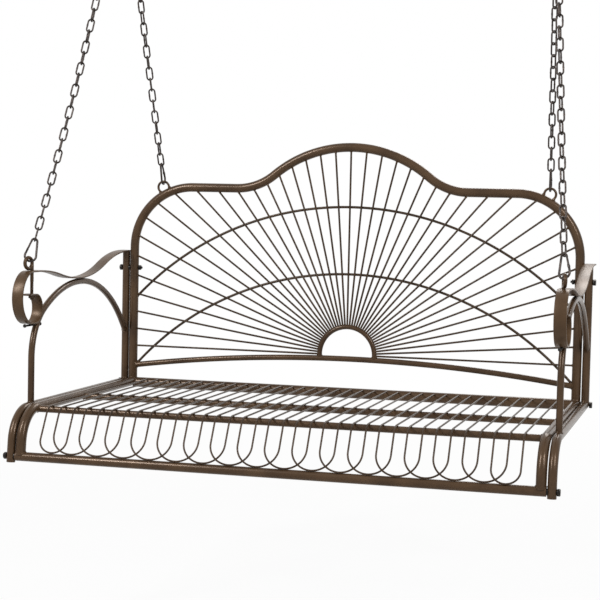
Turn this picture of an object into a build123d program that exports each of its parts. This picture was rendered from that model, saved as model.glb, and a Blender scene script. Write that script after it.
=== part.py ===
from build123d import *
import math
import os

# A hanging porch swing made of bent steel tube. Millimetres. While it is drawn, X is to the right of somebody
# looking at its front, Y goes to the back, Z up, and zero is where the side tubes' centre lines meet the plane
# of the back. At the end everything moves, so that zero is on the ceiling, midway between the two hooks.

# Gaps
weld_gap = 0.2
hole_gap = 0.2
moving_gap = 0.4
touch_gap = 0.3
pin_gap = 0.05

# Flat sides that stand for round ones
tube_sides = 12
thin_sides = 6
small_ring_corners = 10
bend_play = 1.0
widest_turn = 36.0

# Seat frame
half_width = 560.0
side_tube_radius = 11.0
rear_overhang = 14.0
straight_depth = 582.0
front_bend_radius = 75.0
front_bend_turn = 84.0
front_drop = 31.0
cope_share = 0.5
lower_rail_radius = 10.0
rail_radius = 7.5
rear_rail_radius = 12.5
rear_rail_drop = 2.0
front_rail_advance = 3.0
middle_rail_setback = 252.0

# Seat wires
wire_radius = 2.0
wire_height = 7.0
wire_count = 36
wire_pitch = 29.6
wire_bend_radius = 30.0
wire_drop_turn = 60.0
wire_rest_turn = 20.0
wire_rest_gap = 0.6
wire_sides = 5
wire_loop_corners = 6

# Back
back_tube_radius = 11.0
shoulder_height = 495.5
corner_radius = 153.0
valley_radius = 151.0
dome_radius = 305.0
dome_height = 600.0
lower_back_rail_radius = 7.0
lower_back_rail_height = 82.0
lower_back_rail_rise = 41.0
sun_height = 92.0
sun_radius = 69.0
sun_tube_radius = 6.0
arc_rod_radius = 3.2
upper_arc_height = 454.5
upper_arc_radius = 761.0
lower_arc_height = 290.0
lower_arc_radius = 743.0
ray_radius = 2.4
ray_count = 41
ray_sides = 5
back_eye_turn = 27.1
back_eye_stand = 18.0
back_eye_radius = 14.0
back_eye_wire_radius = 3.0

# Arms
arm_offset = 22.0
base_tube_radius = 9.5
base_tube_drop = 45.0
post_radius = 9.5
arch_tube_radius = 7.2
arch_foot_depth = 563.0
arch_height = 266.0
arch_front_radius = 123.0
arch_front_turn = 60.0
arch_fore_radius = 407.0
arch_flat = 5.0
arch_rear_radius = 372.0
arch_rear_turn = 46.0
strip_width = 26.0
strip_thickness = 3.5
strip_rear = 9.5
strip_rear_flat = 21.5
strip_height = 332.0
strip_dip_depth = 315.0
strip_crest_run = 35.0
strip_crest_height = 298.0
scroll_depth = 575.0
scroll_radius = 57.0
curl_radius = 31.5
tab_length = 32.0
eye_bolt_depth = 565.0
eye_bolt_radius = 4.0
eye_ring_radius = 12.0
eye_ring_turn = 14.5
eye_nut_width = 13.0
eye_nut_thickness = 6.5

# Bolts
bolt_radius = 3.0
bolt_head_width = 13.0
bolt_head_thickness = 7.0
bolt_nut_width = 11.0
bolt_nut_thickness = 6.5
spacer_radius = 7.0
upper_bolt_drop = 42.0
rail_bolt_depth = 12.0
scroll_bolt_radius = 2.5
scroll_bolt_reach = 60.0
scroll_head_width = 8.0
scroll_head_thickness = 4.0
scroll_nut_width = 8.0
scroll_nut_thickness = 4.0
cap_thickness = 2.5

# Hanging parts
hinge_depth = 239.2
top_ring_height = 1245.0
top_ring_half_span = 507.0
top_ring_radius = 19.0
top_ring_wire_radius = 3.0
chain_wire_radius = 2.0
chain_width = 18.0
chain_pitch = 26.5
front_chain_sag = 14.0
back_chain_sag = 5.0
snap_wire_radius = 2.5
snap_low_radius = 12.25
snap_top_radius = 6.25
snap_centre_distance = 34.5
gate_pivot = 8.0
gate_radius = 2.2
gate_pin_radius = 1.0
gate_tongue = 1.8
gate_cheek = 1.1
nose_length = 3.5
front_hook_turn = 27.0
front_hook_gap = 0.9
hook_wire_radius = 4.5
hook_bowl_radius = 15.0
hook_neck_radius = 10.0
hook_neck_turn = 60.0
hook_bowl_turn = 280.0
hook_neck = 12.0
hook_flange_radius = 12.0
hook_flange_thickness = 3.0
hook_thread_length = 40.0


def side_plane(x):
    """The plane at x, seen from the right, with Y across and Z up."""
    return Plane(origin=(x, 0, 0), x_dir=(0, 1, 0), z_dir=(1, 0, 0))


def front_plane(y):
    """The plane at y, seen from the front, with X across and Z up."""
    return Plane(origin=(0, y, 0), x_dir=(1, 0, 0), z_dir=(0, -1, 0))


def walk(start, heading, steps):
    """Stations of a flat bent line. A step is a run (length,) or a bend (radius, turn), left turns positive."""
    x, y = start
    way = math.radians(heading)
    stations = [(x, y, way)]
    for step in steps:
        if len(step) == 1:
            x += step[0] * math.cos(way)
            y += step[0] * math.sin(way)
        else:
            side = math.copysign(1, step[1])
            x -= side * step[0] * math.sin(way)
            y += side * step[0] * math.cos(way)
            way += math.radians(step[1])
            x += side * step[0] * math.sin(way)
            y -= side * step[0] * math.cos(way)
        stations.append((x, y, way))
    return stations


def bend_cuts(radius, turn):
    """How many corners stand for a bend, so that they leave it by no more than the bend's play."""
    step = min(widest_turn, 2 * math.degrees(math.acos(radius / (radius + bend_play))))
    return math.ceil(abs(turn) / step)


def corner_points(plane, start, heading, steps):
    """The corners of straight spans that touch each bend of a flat line from outside, and the line's two ends."""
    stations = walk(start, heading, steps)
    flat = [stations[0][:2]]
    for (x, y, way), step in zip(stations, steps):
        if len(step) == 1:
            continue
        radius, turn = step
        cuts = bend_cuts(radius, turn)
        part = turn / cuts
        reach = radius * math.tan(math.radians(abs(part)) / 2)
        for cut in range(cuts):
            x_before, y_before, way_before = walk((x, y), math.degrees(way), [(radius, part * cut)])[-1]
            flat.append((x_before + reach * math.cos(way_before), y_before + reach * math.sin(way_before)))
    flat.append(stations[-1][:2])
    return [plane.from_local_coords((x, y, 0)) for x, y in flat]


def round_section(radius, side_count, start_share=0.5):
    """A section with flat sides inside a circle, its first corner turned by a share of one side."""
    corners = []
    for side in range(side_count):
        angle = 2 * math.pi * (side + start_share) / side_count
        corners.append((radius * math.cos(angle), radius * math.sin(angle)))
    return corners


def swept(points, section, across, closed=False):
    """A solid with a flat-sided section along straight spans that meet in mitres."""
    points = [Vector(*point) for point in points]
    count = len(points)
    spans = count if closed else count - 1
    ways = [(points[(index + 1) % count] - points[index]).normalized() for index in range(spans)]
    base = Plane(origin=(points[0] + points[1]) * 0.5, x_dir=across, z_dir=ways[0])
    ring = [base.from_local_coords((u, v, 0)) for u, v in section]

    def carried(corners, way, point, normal):
        return [corner + way * ((point - corner).dot(normal) / way.dot(normal)) for corner in corners]

    start_normal = (ways[-1] + ways[0]).normalized() if closed else ways[0]
    rings = [carried(ring, ways[0], points[0], start_normal)]
    for index in range(1, count):
        inward = ways[index - 1]
        normal = (inward + ways[index]).normalized() if index < spans else inward
        rings.append(carried(rings[-1], inward, points[index], normal))
    faces = []
    for index in range(spans):
        here = rings[index]
        there = rings[(index + 1) % count]
        for side in range(len(section)):
            after = (side + 1) % len(section)
            corners = [here[side], here[after], there[after], there[side]]
            faces.append(Face(Wire.make_polygon(corners, close=True)))
    if not closed:
        faces.append(Face(Wire.make_polygon(rings[0], close=True)))
        faces.append(Face(Wire.make_polygon(rings[-1], close=True)))
    solid = Solid(Shell(faces))
    return solid if solid.volume > 0 else Solid(Shell([-face for face in faces]))


def tube(plane, start, heading, steps, radius, side_count):
    """A tube bent along a flat line in the plane."""
    points = corner_points(plane, start, heading, steps)
    return Part() + swept(points, round_section(radius, side_count), plane.z_dir)


def bar(start, end, radius, side_count=0):
    """A straight bar between two points, round or with flat sides inside the radius."""
    start = Vector(*start)
    span = Vector(*end) - start
    if side_count == 0:
        return Solid.make_cylinder(radius, span.length, Plane(origin=start, z_dir=span))
    section = Plane(origin=start, z_dir=span) * RegularPolygon(radius, side_count)
    return extrude(section, amount=span.length)


def prism(start, end, width):
    """A straight six-sided bar between two points, its width measured across the flats."""
    start = Vector(*start)
    span = Vector(*end) - start
    section = Plane(origin=start, z_dir=span) * RegularPolygon(width / 2, 6, major_radius=False)
    return extrude(section, amount=span.length)


def largest(shape):
    """The biggest solid of a shape."""
    return max(shape.solids(), key=lambda solid: solid.volume)


def both_sides(shape):
    """The shape and its mirror image across the middle of the swing."""
    return [shape, mirror(shape, about=Plane.YZ)]


pieces = {}

# Side tubes of the seat
side_steps = [
    (rear_overhang + straight_depth,),
    (front_bend_radius, front_bend_turn),
    (front_drop,),
]
side_start = (rear_overhang, 0)
lower_rail_y, lower_rail_z, _ = walk(side_start, 180, side_steps)[-1]
side_tube_steps = side_steps[:2] + [(front_drop - lower_rail_radius * cope_share,)]
side_view = side_plane(half_width)
side_tube = tube(side_view, side_start, 180, side_tube_steps, side_tube_radius, tube_sides)
side_cutter = tube(side_view, side_start, 180, side_steps, side_tube_radius + weld_gap, tube_sides)
side_cutters = both_sides(side_cutter)

rail_end = half_width + side_tube_radius
lower_rail_start = (-rail_end, lower_rail_y, lower_rail_z)
lower_rail_stop = (rail_end, lower_rail_y, lower_rail_z)
lower_rail_cutter = bar(lower_rail_start, lower_rail_stop, lower_rail_radius + weld_gap, tube_sides)
pieces["seat_side_tube_right"], pieces["seat_side_tube_left"] = both_sides(largest(side_tube - lower_rail_cutter))

lower_rail = bar(lower_rail_start, lower_rail_stop, lower_rail_radius, tube_sides)
for side in (-1, 1):
    hole_start = (side * rail_end, lower_rail_y, lower_rail_z)
    hole_stop = (side * (rail_end - rail_bolt_depth), lower_rail_y, lower_rail_z)
    lower_rail = lower_rail - bar(hole_start, hole_stop, bolt_radius + hole_gap, thin_sides)
pieces["lower_front_rail"] = lower_rail

# Seat wires: each loop comes forward as two wires, drops in front of the seat and turns on the lower rail.
# Neighbouring loops cross, so each one leans a little to pass beside the next.
drop_angle = math.radians(wire_drop_turn)
rest_angle = math.radians(wire_rest_turn)
drop_way = Vector(0, -math.cos(drop_angle), -math.sin(drop_angle))
drop_normal = Vector(0, -math.sin(drop_angle), math.cos(drop_angle))
rail_axis = Vector(0, lower_rail_y, lower_rail_z)
rest_radius = lower_rail_radius + wire_rest_gap + wire_radius
lean = (2 * wire_radius + moving_gap) / (2 * wire_pitch)
wire_top_rise = wire_height + rear_rail_drop - wire_radius
wire_rear_y = -math.sqrt((rear_rail_radius + weld_gap) ** 2 - wire_top_rise**2)


def wire_x(index):
    return (index - (wire_count - 1) / 2) * wire_pitch


def wire_loop(first, last, shift):
    """One seat wire loop between two wires, moved along the drop's normal by the shift."""
    centre_x = (wire_x(first) + wire_x(last)) / 2
    half_span = (wire_x(last) - wire_x(first)) / 2
    rest = Vector(0, -math.sin(rest_angle), math.cos(rest_angle)) * rest_radius + drop_normal * shift
    along = rest.dot(drop_way)
    slide = -along - math.sqrt(along**2 - rest.dot(rest) + rest_radius**2)
    bottom = rail_axis + rest + drop_way * slide + Vector(centre_x, 0, 0)
    across = (Vector(1, 0, 0) - drop_normal * lean).normalized()
    loop_radius = half_span * math.sqrt(1 + lean**2)
    loop_centre = bottom - drop_way * loop_radius

    def leg(sign):
        """Points of one wire from its rear end to the loop's straight drop."""
        foot = bottom + Vector(sign * half_span, 0, 0) - drop_normal * (sign * half_span * lean)
        corner = foot + drop_way * ((wire_height - foot.Z) / drop_way.Z)
        start_y = corner.Y + wire_bend_radius * math.tan(drop_angle / 2)
        steps = [(wire_rear_y - start_y,), (wire_bend_radius, wire_drop_turn)]
        points = corner_points(side_plane(corner.X), (wire_rear_y, wire_height), 180, steps)
        return points[:-1]

    round_points = []
    corner_radius = loop_radius / math.cos(math.pi / (2 * wire_loop_corners))
    for corner in range(wire_loop_corners):
        angle = math.pi * (corner + 0.5) / wire_loop_corners
        beside = across * (-corner_radius * math.cos(angle))
        round_points.append(loop_centre + beside + drop_way * (corner_radius * math.sin(angle)))
    points = leg(-1) + round_points + leg(1)[::-1]
    return swept(points, round_section(wire_radius, wire_sides), Vector(1, 0, 0))


end_shift = 0.5 * wire_pitch * lean
loops = [wire_loop(0, 2, -end_shift)]
for first in range(1, wire_count - 4, 2):
    loops.append(wire_loop(first, first + 3, 0))
loops.append(wire_loop(wire_count - 3, wire_count - 1, end_shift))
pieces["seat_wire_loops"] = Compound(loops)

# Outer tube of the back
valley_drop = shoulder_height + valley_radius - (dome_height - dome_radius)
valley_turn = math.degrees(math.acos(valley_drop / (valley_radius + dome_radius)))
valley_x = (valley_radius + dome_radius) * math.sin(math.radians(valley_turn))
post_start = side_tube_radius * cope_share
back_start = (-half_width, post_start)
back_steps = [
    (shoulder_height - corner_radius - post_start,),
    (corner_radius, -90),
    (half_width - corner_radius - valley_x,),
    (valley_radius, valley_turn),
    (dome_radius, -2 * valley_turn),
    (valley_radius, valley_turn),
    (half_width - corner_radius - valley_x,),
    (corner_radius, -90),
    (shoulder_height - corner_radius - post_start,),
]
front_view = front_plane(0)
back_tube = tube(front_view, back_start, 90, back_steps, back_tube_radius, tube_sides) - side_cutters
back_cutter = tube(front_view, back_start, 90, back_steps, back_tube_radius + weld_gap, tube_sides)


def cross_rail(y, z, radius):
    """A rail along X between the side tubes, coped to fit them."""
    end = half_width - side_tube_radius * cope_share
    return bar((-end, y, z), (end, y, z), radius, tube_sides) - side_cutters


rail_z = wire_height - wire_radius - weld_gap - rail_radius
pieces["rear_seat_rail"] = cross_rail(0, -rear_rail_drop, rear_rail_radius) - back_cutter
pieces["middle_seat_rail"] = cross_rail(middle_rail_setback - straight_depth, rail_z, rail_radius)
pieces["front_seat_rail"] = cross_rail(-straight_depth - front_rail_advance, rail_z, rail_radius)


def bow(y, height, bow_radius, tube_radius, side_count):
    """An arc across the back, from one post's centre line to the other's, highest in the middle."""
    half_turn = math.degrees(math.asin(half_width / bow_radius))
    start = (-half_width, height - bow_radius + math.sqrt(bow_radius**2 - half_width**2))
    return tube(front_plane(y), start, half_turn, [(bow_radius, -2 * half_turn)], tube_radius, side_count)


# Arched lower rail of the back, with a half ring on it
lower_back_bow = (half_width**2 + lower_back_rail_rise**2) / (2 * lower_back_rail_rise)
lower_back_rail = bow(0, lower_back_rail_height, lower_back_bow, lower_back_rail_radius, tube_sides)
lower_back_cutter = bow(0, lower_back_rail_height, lower_back_bow, lower_back_rail_radius + weld_gap, tube_sides)
pieces["back_lower_rail"] = largest(lower_back_rail - back_cutter)

sun_foot = lower_back_rail_height + lower_back_rail_radius * cope_share
sun_steps = [(sun_height - sun_foot,), (sun_radius, -180), (sun_height - sun_foot,)]
sun_ring = tube(front_view, (-sun_radius, sun_foot), 90, sun_steps, sun_tube_radius, tube_sides)
pieces["sun_half_ring"] = largest(sun_ring - lower_back_cutter)

# Two thin arcs behind the rays
for name, height, radius in (
    ("lower_arc_rod", lower_arc_height, lower_arc_radius),
    ("upper_arc_rod", upper_arc_height, upper_arc_radius),
):
    arc_rod = bow(arc_rod_radius, height, radius, arc_rod_radius, thin_sides)
    pieces[name] = largest(arc_rod - back_cutter - lower_back_cutter)

# Rays from the half ring to the outer tube
ray_y = -ray_radius - weld_gap
ray_start = sun_radius + sun_tube_radius + bend_play
ray_clearance = back_tube_radius + weld_gap
near_enough = 0.01


def back_outline():
    """The centre line of the outer tube, from the seat up and round to the seat."""
    edges = []
    stations = walk(back_start, 90, back_steps)
    for before, after, step in zip(stations, stations[1:], back_steps):
        ends = [front_view.from_local_coords((x, y, 0)) for x, y, way in (before, after)]
        if len(step) == 1:
            edges.append(Edge.make_line(*ends))
        else:
            x, y, way = before
            x, y, way = walk((x, y), math.degrees(way), [(step[0], step[1] / 2)])[-1]
            middle = front_view.from_local_coords((x, y, 0))
            edges.append(Edge.make_three_point_arc(ends[0], middle, ends[1]))
    return Wire(edges)


outline = back_outline()


def ray_reach(angle):
    """How far a ray runs from the ring's centre before either of its edges meets the outer tube."""
    way = Vector(math.cos(angle), 0, math.sin(angle))
    beside = Vector(-math.sin(angle), 0, math.cos(angle))
    reach = []
    for sign in (-1, 1):
        distance = ray_start
        gap = half_width
        while gap > near_enough:
            point = Vector(0, 0, sun_height) + way * distance + beside * (sign * ray_radius)
            gap = outline.distance_to(point) - ray_clearance
            distance += gap
        reach.append(distance)
    return min(reach)


rays = []
for index in range(ray_count):
    angle = math.pi * index / (ray_count - 1)
    ends = []
    for distance in (ray_start, ray_reach(angle)):
        ends.append((distance * math.cos(angle), ray_y, sun_height + distance * math.sin(angle)))
    rays.append(swept(ends, round_section(ray_radius, ray_sides, 0), Vector(0, 1, 0)))
pieces["sun_rays"] = Compound(rays)


def ring(plane, centre, radius, corner_count, wire_radius, side_count):
    """A closed round ring about a centre in the plane, its straight spans touching the circle from outside."""
    points = []
    for corner in range(corner_count):
        angle = 2 * math.pi * (corner + 0.5) / corner_count
        reach = radius / math.cos(math.pi / corner_count)
        x = centre[0] + reach * math.cos(angle)
        y = centre[1] + reach * math.sin(angle)
        points.append(plane.from_local_coords((x, y, 0)))
    return swept(points, round_section(wire_radius, side_count), plane.z_dir, closed=True)


# Eyes on the shoulders of the back
eye_angle = math.radians(back_eye_turn)
eye_distance = corner_radius + back_eye_stand
back_eye_x = half_width - corner_radius + eye_distance * math.sin(eye_angle)
back_eye_z = shoulder_height - corner_radius + eye_distance * math.cos(eye_angle)
back_eye = ring(
    front_view,
    (back_eye_x, back_eye_z),
    back_eye_radius,
    small_ring_corners,
    back_eye_wire_radius,
    thin_sides,
)
back_eye = largest(Part() + back_eye - back_cutter)
pieces["back_eyes"] = Compound(both_sides(back_eye))

# Arms: base tube, post and arch
arm_x = half_width + arm_offset
arm_view = side_plane(arm_x)
base_steps = side_steps[:2] + [(base_tube_drop,)]
base_tube = tube(arm_view, side_start, 180, base_steps, base_tube_radius, tube_sides)
base_cutter = tube(arm_view, side_start, 180, base_steps, base_tube_radius + weld_gap, tube_sides)

post_foot = base_tube_radius * cope_share
post_top = strip_height - strip_thickness / 2 - weld_gap
post = bar((arm_x, 0, post_foot), (arm_x, 0, post_top), post_radius, tube_sides) - base_cutter
post_cutter = bar((arm_x, 0, post_foot), (arm_x, 0, post_top), post_radius + weld_gap, tube_sides)

arch_fore_turn = 90 - arch_front_turn
arch_fore_drop = arch_fore_radius * (1 - math.cos(math.radians(arch_fore_turn)))
arch_front_rise = arch_front_radius * math.sin(math.radians(arch_front_turn))
arch_leg_top = arch_height - arch_fore_drop - arch_front_rise
arch_foot = base_tube_radius * cope_share
arch_start = (-arch_foot_depth, arch_foot)
arch_steps = [
    (arch_leg_top - arch_foot,),
    (arch_front_radius, -arch_front_turn),
    (arch_fore_radius, -arch_fore_turn),
    (arch_flat,),
    (arch_rear_radius, -arch_rear_turn),
]
arch_tail_y = walk(arch_start, 90, arch_steps)[-1][0]
arch_steps.append((-arch_tail_y / math.cos(math.radians(arch_rear_turn)),))
arch = tube(arm_view, arch_start, 90, arch_steps, arch_tube_radius, tube_sides)
arch_cutter = tube(arm_view, arch_start, 90, arch_steps, arch_tube_radius + weld_gap, tube_sides)
arch = largest(arch - base_cutter - post_cutter)

# Armrest strip: down in an S from the post, up in an S to a crest, then a scroll that ends on the arch
strip_dip = strip_height - arch_height - arch_tube_radius - weld_gap - strip_thickness / 2
strip_crest_depth = scroll_depth - strip_crest_run
strip_crest_rise = strip_crest_height - strip_height + strip_dip
curl_centre_z = strip_crest_height - 2 * scroll_radius + curl_radius
arch_centre_y = -arch_foot_depth + arch_front_radius
curl_clearance = arch_front_radius + arch_tube_radius + strip_thickness / 2 + weld_gap + curl_radius
curl_centre_y = arch_centre_y - math.sqrt(curl_clearance**2 - (curl_centre_z - arch_leg_top) ** 2)


def s_curve(length, drop):
    """Two equal bends that carry a level line up or down by the drop over the length."""
    radius = (length**2 + drop**2) / (4 * abs(drop))
    turn = math.copysign(2 * math.degrees(math.atan(abs(drop) / length)), drop)
    return [(radius, turn), (radius, -turn)]


strip_steps = [(strip_rear_flat,)]
strip_steps += s_curve(strip_dip_depth + strip_rear - strip_rear_flat, strip_dip)
strip_steps += s_curve(strip_crest_depth - strip_dip_depth, -strip_crest_rise)
strip_steps += [
    (strip_crest_run,),
    (scroll_radius, 180),
    (scroll_depth + curl_centre_y,),
    (curl_radius, 180),
    (tab_length,),
]
half_strip = strip_width / 2
half_strip_thickness = strip_thickness / 2
strip_section = [
    (-half_strip, -half_strip_thickness),
    (half_strip, -half_strip_thickness),
    (half_strip, half_strip_thickness),
    (-half_strip, half_strip_thickness),
]
strip_x = half_width + back_tube_radius + weld_gap + half_strip
strip_points = corner_points(side_plane(strip_x), (strip_rear, strip_height), 180, strip_steps)
strip = Part() + swept(strip_points, strip_section, Vector(1, 0, 0))
tab_z = curl_centre_z + curl_radius
scroll_bottom_z = curl_centre_z - curl_radius

# Eye bolt through the crest and the tab, with its nut under the tab. The ring starts beside the shank's end.
eye_ring_reach = eye_ring_radius / math.cos(math.pi / small_ring_corners)
eye_centre_z = strip_crest_height + half_strip_thickness + weld_gap + eye_ring_reach + eye_bolt_radius
eye_nut_top = tab_z - half_strip_thickness - weld_gap
eye_shank_end = eye_nut_top - eye_nut_thickness - bolt_radius
eye_top = (arm_x, -eye_bolt_depth, eye_centre_z)
eye_bottom = (arm_x, -eye_bolt_depth, eye_shank_end)
eye_hole = bar(eye_top, eye_bottom, eye_bolt_radius + hole_gap, thin_sides)
eye_way = math.radians(eye_ring_turn)
eye_plane = Plane(
    origin=(arm_x, -eye_bolt_depth, eye_centre_z),
    x_dir=(-math.sin(eye_way), math.cos(eye_way), 0),
    z_dir=(math.cos(eye_way), math.sin(eye_way), 0),
)
eye_ring = ring(eye_plane, (-eye_ring_radius, 0), eye_ring_radius, small_ring_corners, eye_bolt_radius, thin_sides)
eye_bolt = Part() + eye_ring + bar(eye_top, eye_bottom, eye_bolt_radius, thin_sides)
eye_nut_stop = (arm_x, -eye_bolt_depth, eye_nut_top - eye_nut_thickness)
eye_nut = prism((arm_x, -eye_bolt_depth, eye_nut_top), eye_nut_stop, eye_nut_width) - eye_hole
pieces["eye_bolts"] = Compound(both_sides(eye_bolt))
pieces["eye_bolt_nuts"] = Compound(both_sides(eye_nut))
strip = largest(strip - arch_cutter - eye_hole)

# Bolts across the arm tubes
outer_face = arm_x + base_tube_radius + weld_gap
gap_start = half_width + side_tube_radius + weld_gap
gap_end = arm_x - base_tube_radius - weld_gap
post_gap_start = half_width + back_tube_radius + weld_gap
post_gap_end = arm_x - post_radius - weld_gap
inner_back_face = half_width - back_tube_radius - weld_gap


def cross_bolt(y, z, tip):
    """A bolt along X with its head outside the arm, and the hole that it needs."""
    head_face = outer_face + bolt_head_thickness
    head = prism((outer_face, y, z), (head_face, y, z), bolt_head_width)
    shank = bar((outer_face, y, z), (tip, y, z), bolt_radius, thin_sides)
    hole = bar((head_face, y, z), (tip, y, z), bolt_radius + hole_gap, thin_sides)
    return Part() + head + shank, hole


def cross_spacer(y, z, start, end, hole):
    """A ring between two tubes, around a bolt along X."""
    return bar((start, y, z), (end, y, z), spacer_radius, tube_sides) - hole


nut_tip = weld_gap + bolt_nut_thickness + bolt_radius
upper_bolt_height = strip_height - upper_bolt_drop
front_bolt, front_hole = cross_bolt(lower_rail_y, lower_rail_z, rail_end - rail_bolt_depth + touch_gap)
upper_bolt, upper_hole = cross_bolt(0, upper_bolt_height, inner_back_face - nut_tip)
rear_bolt, rear_hole = cross_bolt(0, 0, half_width + side_tube_radius * cope_share)
front_spacer = cross_spacer(lower_rail_y, lower_rail_z, gap_start, gap_end, front_hole)
rear_spacer = cross_spacer(0, 0, gap_start, gap_end, rear_hole)
upper_spacer = cross_spacer(0, upper_bolt_height, post_gap_start, post_gap_end, upper_hole)
upper_nut_start = (inner_back_face, 0, upper_bolt_height)
upper_nut_stop = (inner_back_face - bolt_nut_thickness, 0, upper_bolt_height)
upper_nut = prism(upper_nut_start, upper_nut_stop, bolt_nut_width) - upper_hole
pieces["frame_bolts"] = Compound(both_sides(front_bolt) + both_sides(rear_bolt) + both_sides(upper_bolt))
pieces["frame_bolt_nuts"] = Compound(both_sides(upper_nut))
spacers = both_sides(front_spacer) + both_sides(rear_spacer) + both_sides(upper_spacer)
pieces["frame_spacers"] = Compound(spacers)
for name, hole in zip(("seat_side_tube_right", "seat_side_tube_left"), both_sides(rear_hole)):
    pieces[name] = pieces[name] - hole
base_tube = base_tube - front_hole - rear_hole
post = post - upper_hole
pieces["back_frame_tube"] = back_tube - both_sides(upper_hole)

# Scroll bolt through the front of the arch, just under the scroll
scroll_bolt_z = scroll_bottom_z - half_strip_thickness - weld_gap - scroll_bolt_radius
arch_rise = scroll_bolt_z - arch_leg_top
arch_y = arch_centre_y - math.sqrt(arch_front_radius**2 - arch_rise**2)
arch_slope = math.sqrt(1 - (arch_rise / arch_front_radius) ** 2)
scroll_nut_y = arch_y + (arch_tube_radius + scroll_nut_width / 2) / arch_slope
scroll_head_y = arch_y - scroll_bolt_reach
scroll_bolt_end = scroll_nut_y + scroll_nut_thickness + scroll_bolt_radius
scroll_start = (arm_x, scroll_head_y, scroll_bolt_z)
scroll_stop = (arm_x, scroll_bolt_end, scroll_bolt_z)
scroll_hole = bar(scroll_start, scroll_stop, scroll_bolt_radius + hole_gap, thin_sides)
scroll_head_stop = (arm_x, scroll_head_y - scroll_head_thickness, scroll_bolt_z)
scroll_head = bar(scroll_start, scroll_head_stop, scroll_head_width / 2, tube_sides)
scroll_bolt = Part() + bar(scroll_start, scroll_stop, scroll_bolt_radius, thin_sides) + scroll_head
scroll_nut_start = (arm_x, scroll_nut_y, scroll_bolt_z)
scroll_nut_stop = (arm_x, scroll_nut_y + scroll_nut_thickness, scroll_bolt_z)
scroll_nut = prism(scroll_nut_start, scroll_nut_stop, scroll_nut_width) - scroll_hole
arch = arch - scroll_hole
pieces["scroll_bolts"] = Compound(both_sides(scroll_bolt))
pieces["scroll_bolt_nuts"] = Compound(both_sides(scroll_nut))

for name, shape in (
    ("arm_base_tube", base_tube),
    ("arm_post", post),
    ("arm_arch_tube", arch),
    ("armrest_strip", strip),
):
    pieces[name + "_right"], pieces[name + "_left"] = both_sides(shape)

# Plugs in the rear ends of the side tubes and the base tubes
caps = []
for x, radius in ((half_width, side_tube_radius), (arm_x, base_tube_radius)):
    cap_start = rear_overhang + weld_gap
    caps += both_sides(bar((x, cap_start, 0), (x, cap_start + cap_thickness, 0), radius, tube_sides))
pieces["tube_end_caps"] = Compound(caps)


# Hanging parts
def hang_curve(top, low, sag):
    """A shallow arc from the top to the low point that sags by the given amount, as a function of its length."""
    chord = low - top
    down = Vector(0, 0, -1)
    side = (down - chord * (down.dot(chord) / chord.dot(chord))).normalized()
    half = chord.length / 2
    radius = (half**2 + sag**2) / (2 * sag)
    half_angle = math.asin(half / radius)
    middle = top + chord * 0.5 - side * (radius - sag)
    along = chord.normalized()

    def point(length):
        angle = length / radius - half_angle
        return middle + along * (radius * math.sin(angle)) + side * (radius * math.cos(angle))

    return point, 2 * half_angle * radius


def chain_link(centre, along, across, length):
    """One chain link about its centre, its long way along and its flat side across."""
    half_length = along * (length / 2)
    half_breadth = across * (chain_width / 2 - chain_wire_radius)
    points = [
        centre + half_length + half_breadth,
        centre - half_length + half_breadth,
        centre - half_length - half_breadth,
        centre + half_length - half_breadth,
    ]
    section = round_section(chain_wire_radius / math.cos(math.pi / 4), 4)
    return swept(points, section, along.cross(across), closed=True)


snap_taper = math.asin((snap_low_radius - snap_top_radius) / snap_centre_distance)
snap_side = snap_centre_distance * math.cos(snap_taper)
snap_length = snap_low_radius + snap_centre_distance + snap_top_radius


def on_gate_line(distance):
    """A point on the straight side that the gate closes, measured from the wide end."""
    x = snap_low_radius * math.cos(snap_taper) - math.sin(snap_taper) * distance
    y = snap_low_radius * math.sin(snap_taper) + math.cos(snap_taper) * distance
    return x, y


def snap_hook(plane):
    """The bent body of a snap hook, its gate and the gate's pivot, drawn in the plane with the narrow end up."""
    taper = math.degrees(snap_taper)
    body_end = gate_pivot - gate_radius - moving_gap
    steps = [
        (body_end,),
        (snap_low_radius, -(180 + 2 * taper)),
        (snap_side,),
        (snap_top_radius, -(180 - 2 * taper)),
        (nose_length,),
    ]
    body = Part() + tube(plane, on_gate_line(body_end), taper - 90, steps, snap_wire_radius, thin_sides)

    def plate(start, end, low, high):
        """A flat bar along the gate's line with a rounded end at the pivot."""
        turned = Location(on_gate_line((start + end) / 2), taper)
        face = turned * Rectangle(2 * gate_radius, abs(end - start))
        face = face + Location(on_gate_line(gate_pivot), taper) * RegularPolygon(gate_radius, 8, rotation=22.5)
        return plane * (Pos(0, 0, low) * extrude(face, amount=high - low))

    pivot_x, pivot_y = on_gate_line(gate_pivot)
    pivot = plane.from_local_coords((pivot_x, pivot_y, 0))
    cheek_start = gate_tongue / 2 + moving_gap
    cheek_stop = cheek_start + gate_cheek
    pin_start = pivot - plane.z_dir * cheek_stop
    pin_stop = pivot + plane.z_dir * cheek_stop
    tongue = plate(body_end - gate_radius, gate_pivot, -gate_tongue / 2, gate_tongue / 2)
    body = body + tongue - bar(pin_start, pin_stop, gate_pin_radius + pin_gap)

    rod_start = gate_pivot + gate_radius + moving_gap
    rod_stop = snap_side - nose_length - moving_gap
    rod_ends = []
    for distance in (rod_start, rod_stop):
        x, y = on_gate_line(distance)
        rod_ends.append(plane.from_local_coords((x, y, 0)))
    gate = Part() + swept(rod_ends, round_section(gate_radius, thin_sides), plane.z_dir)
    cheek_end = rod_start + gate_radius
    for low, high in ((cheek_start, cheek_stop), (-cheek_stop, -cheek_start)):
        gate = gate + plate(gate_pivot, cheek_end, low, high)
    gate = gate + bar(pin_start, pin_stop, gate_pin_radius)
    return body, gate, pivot


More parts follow.
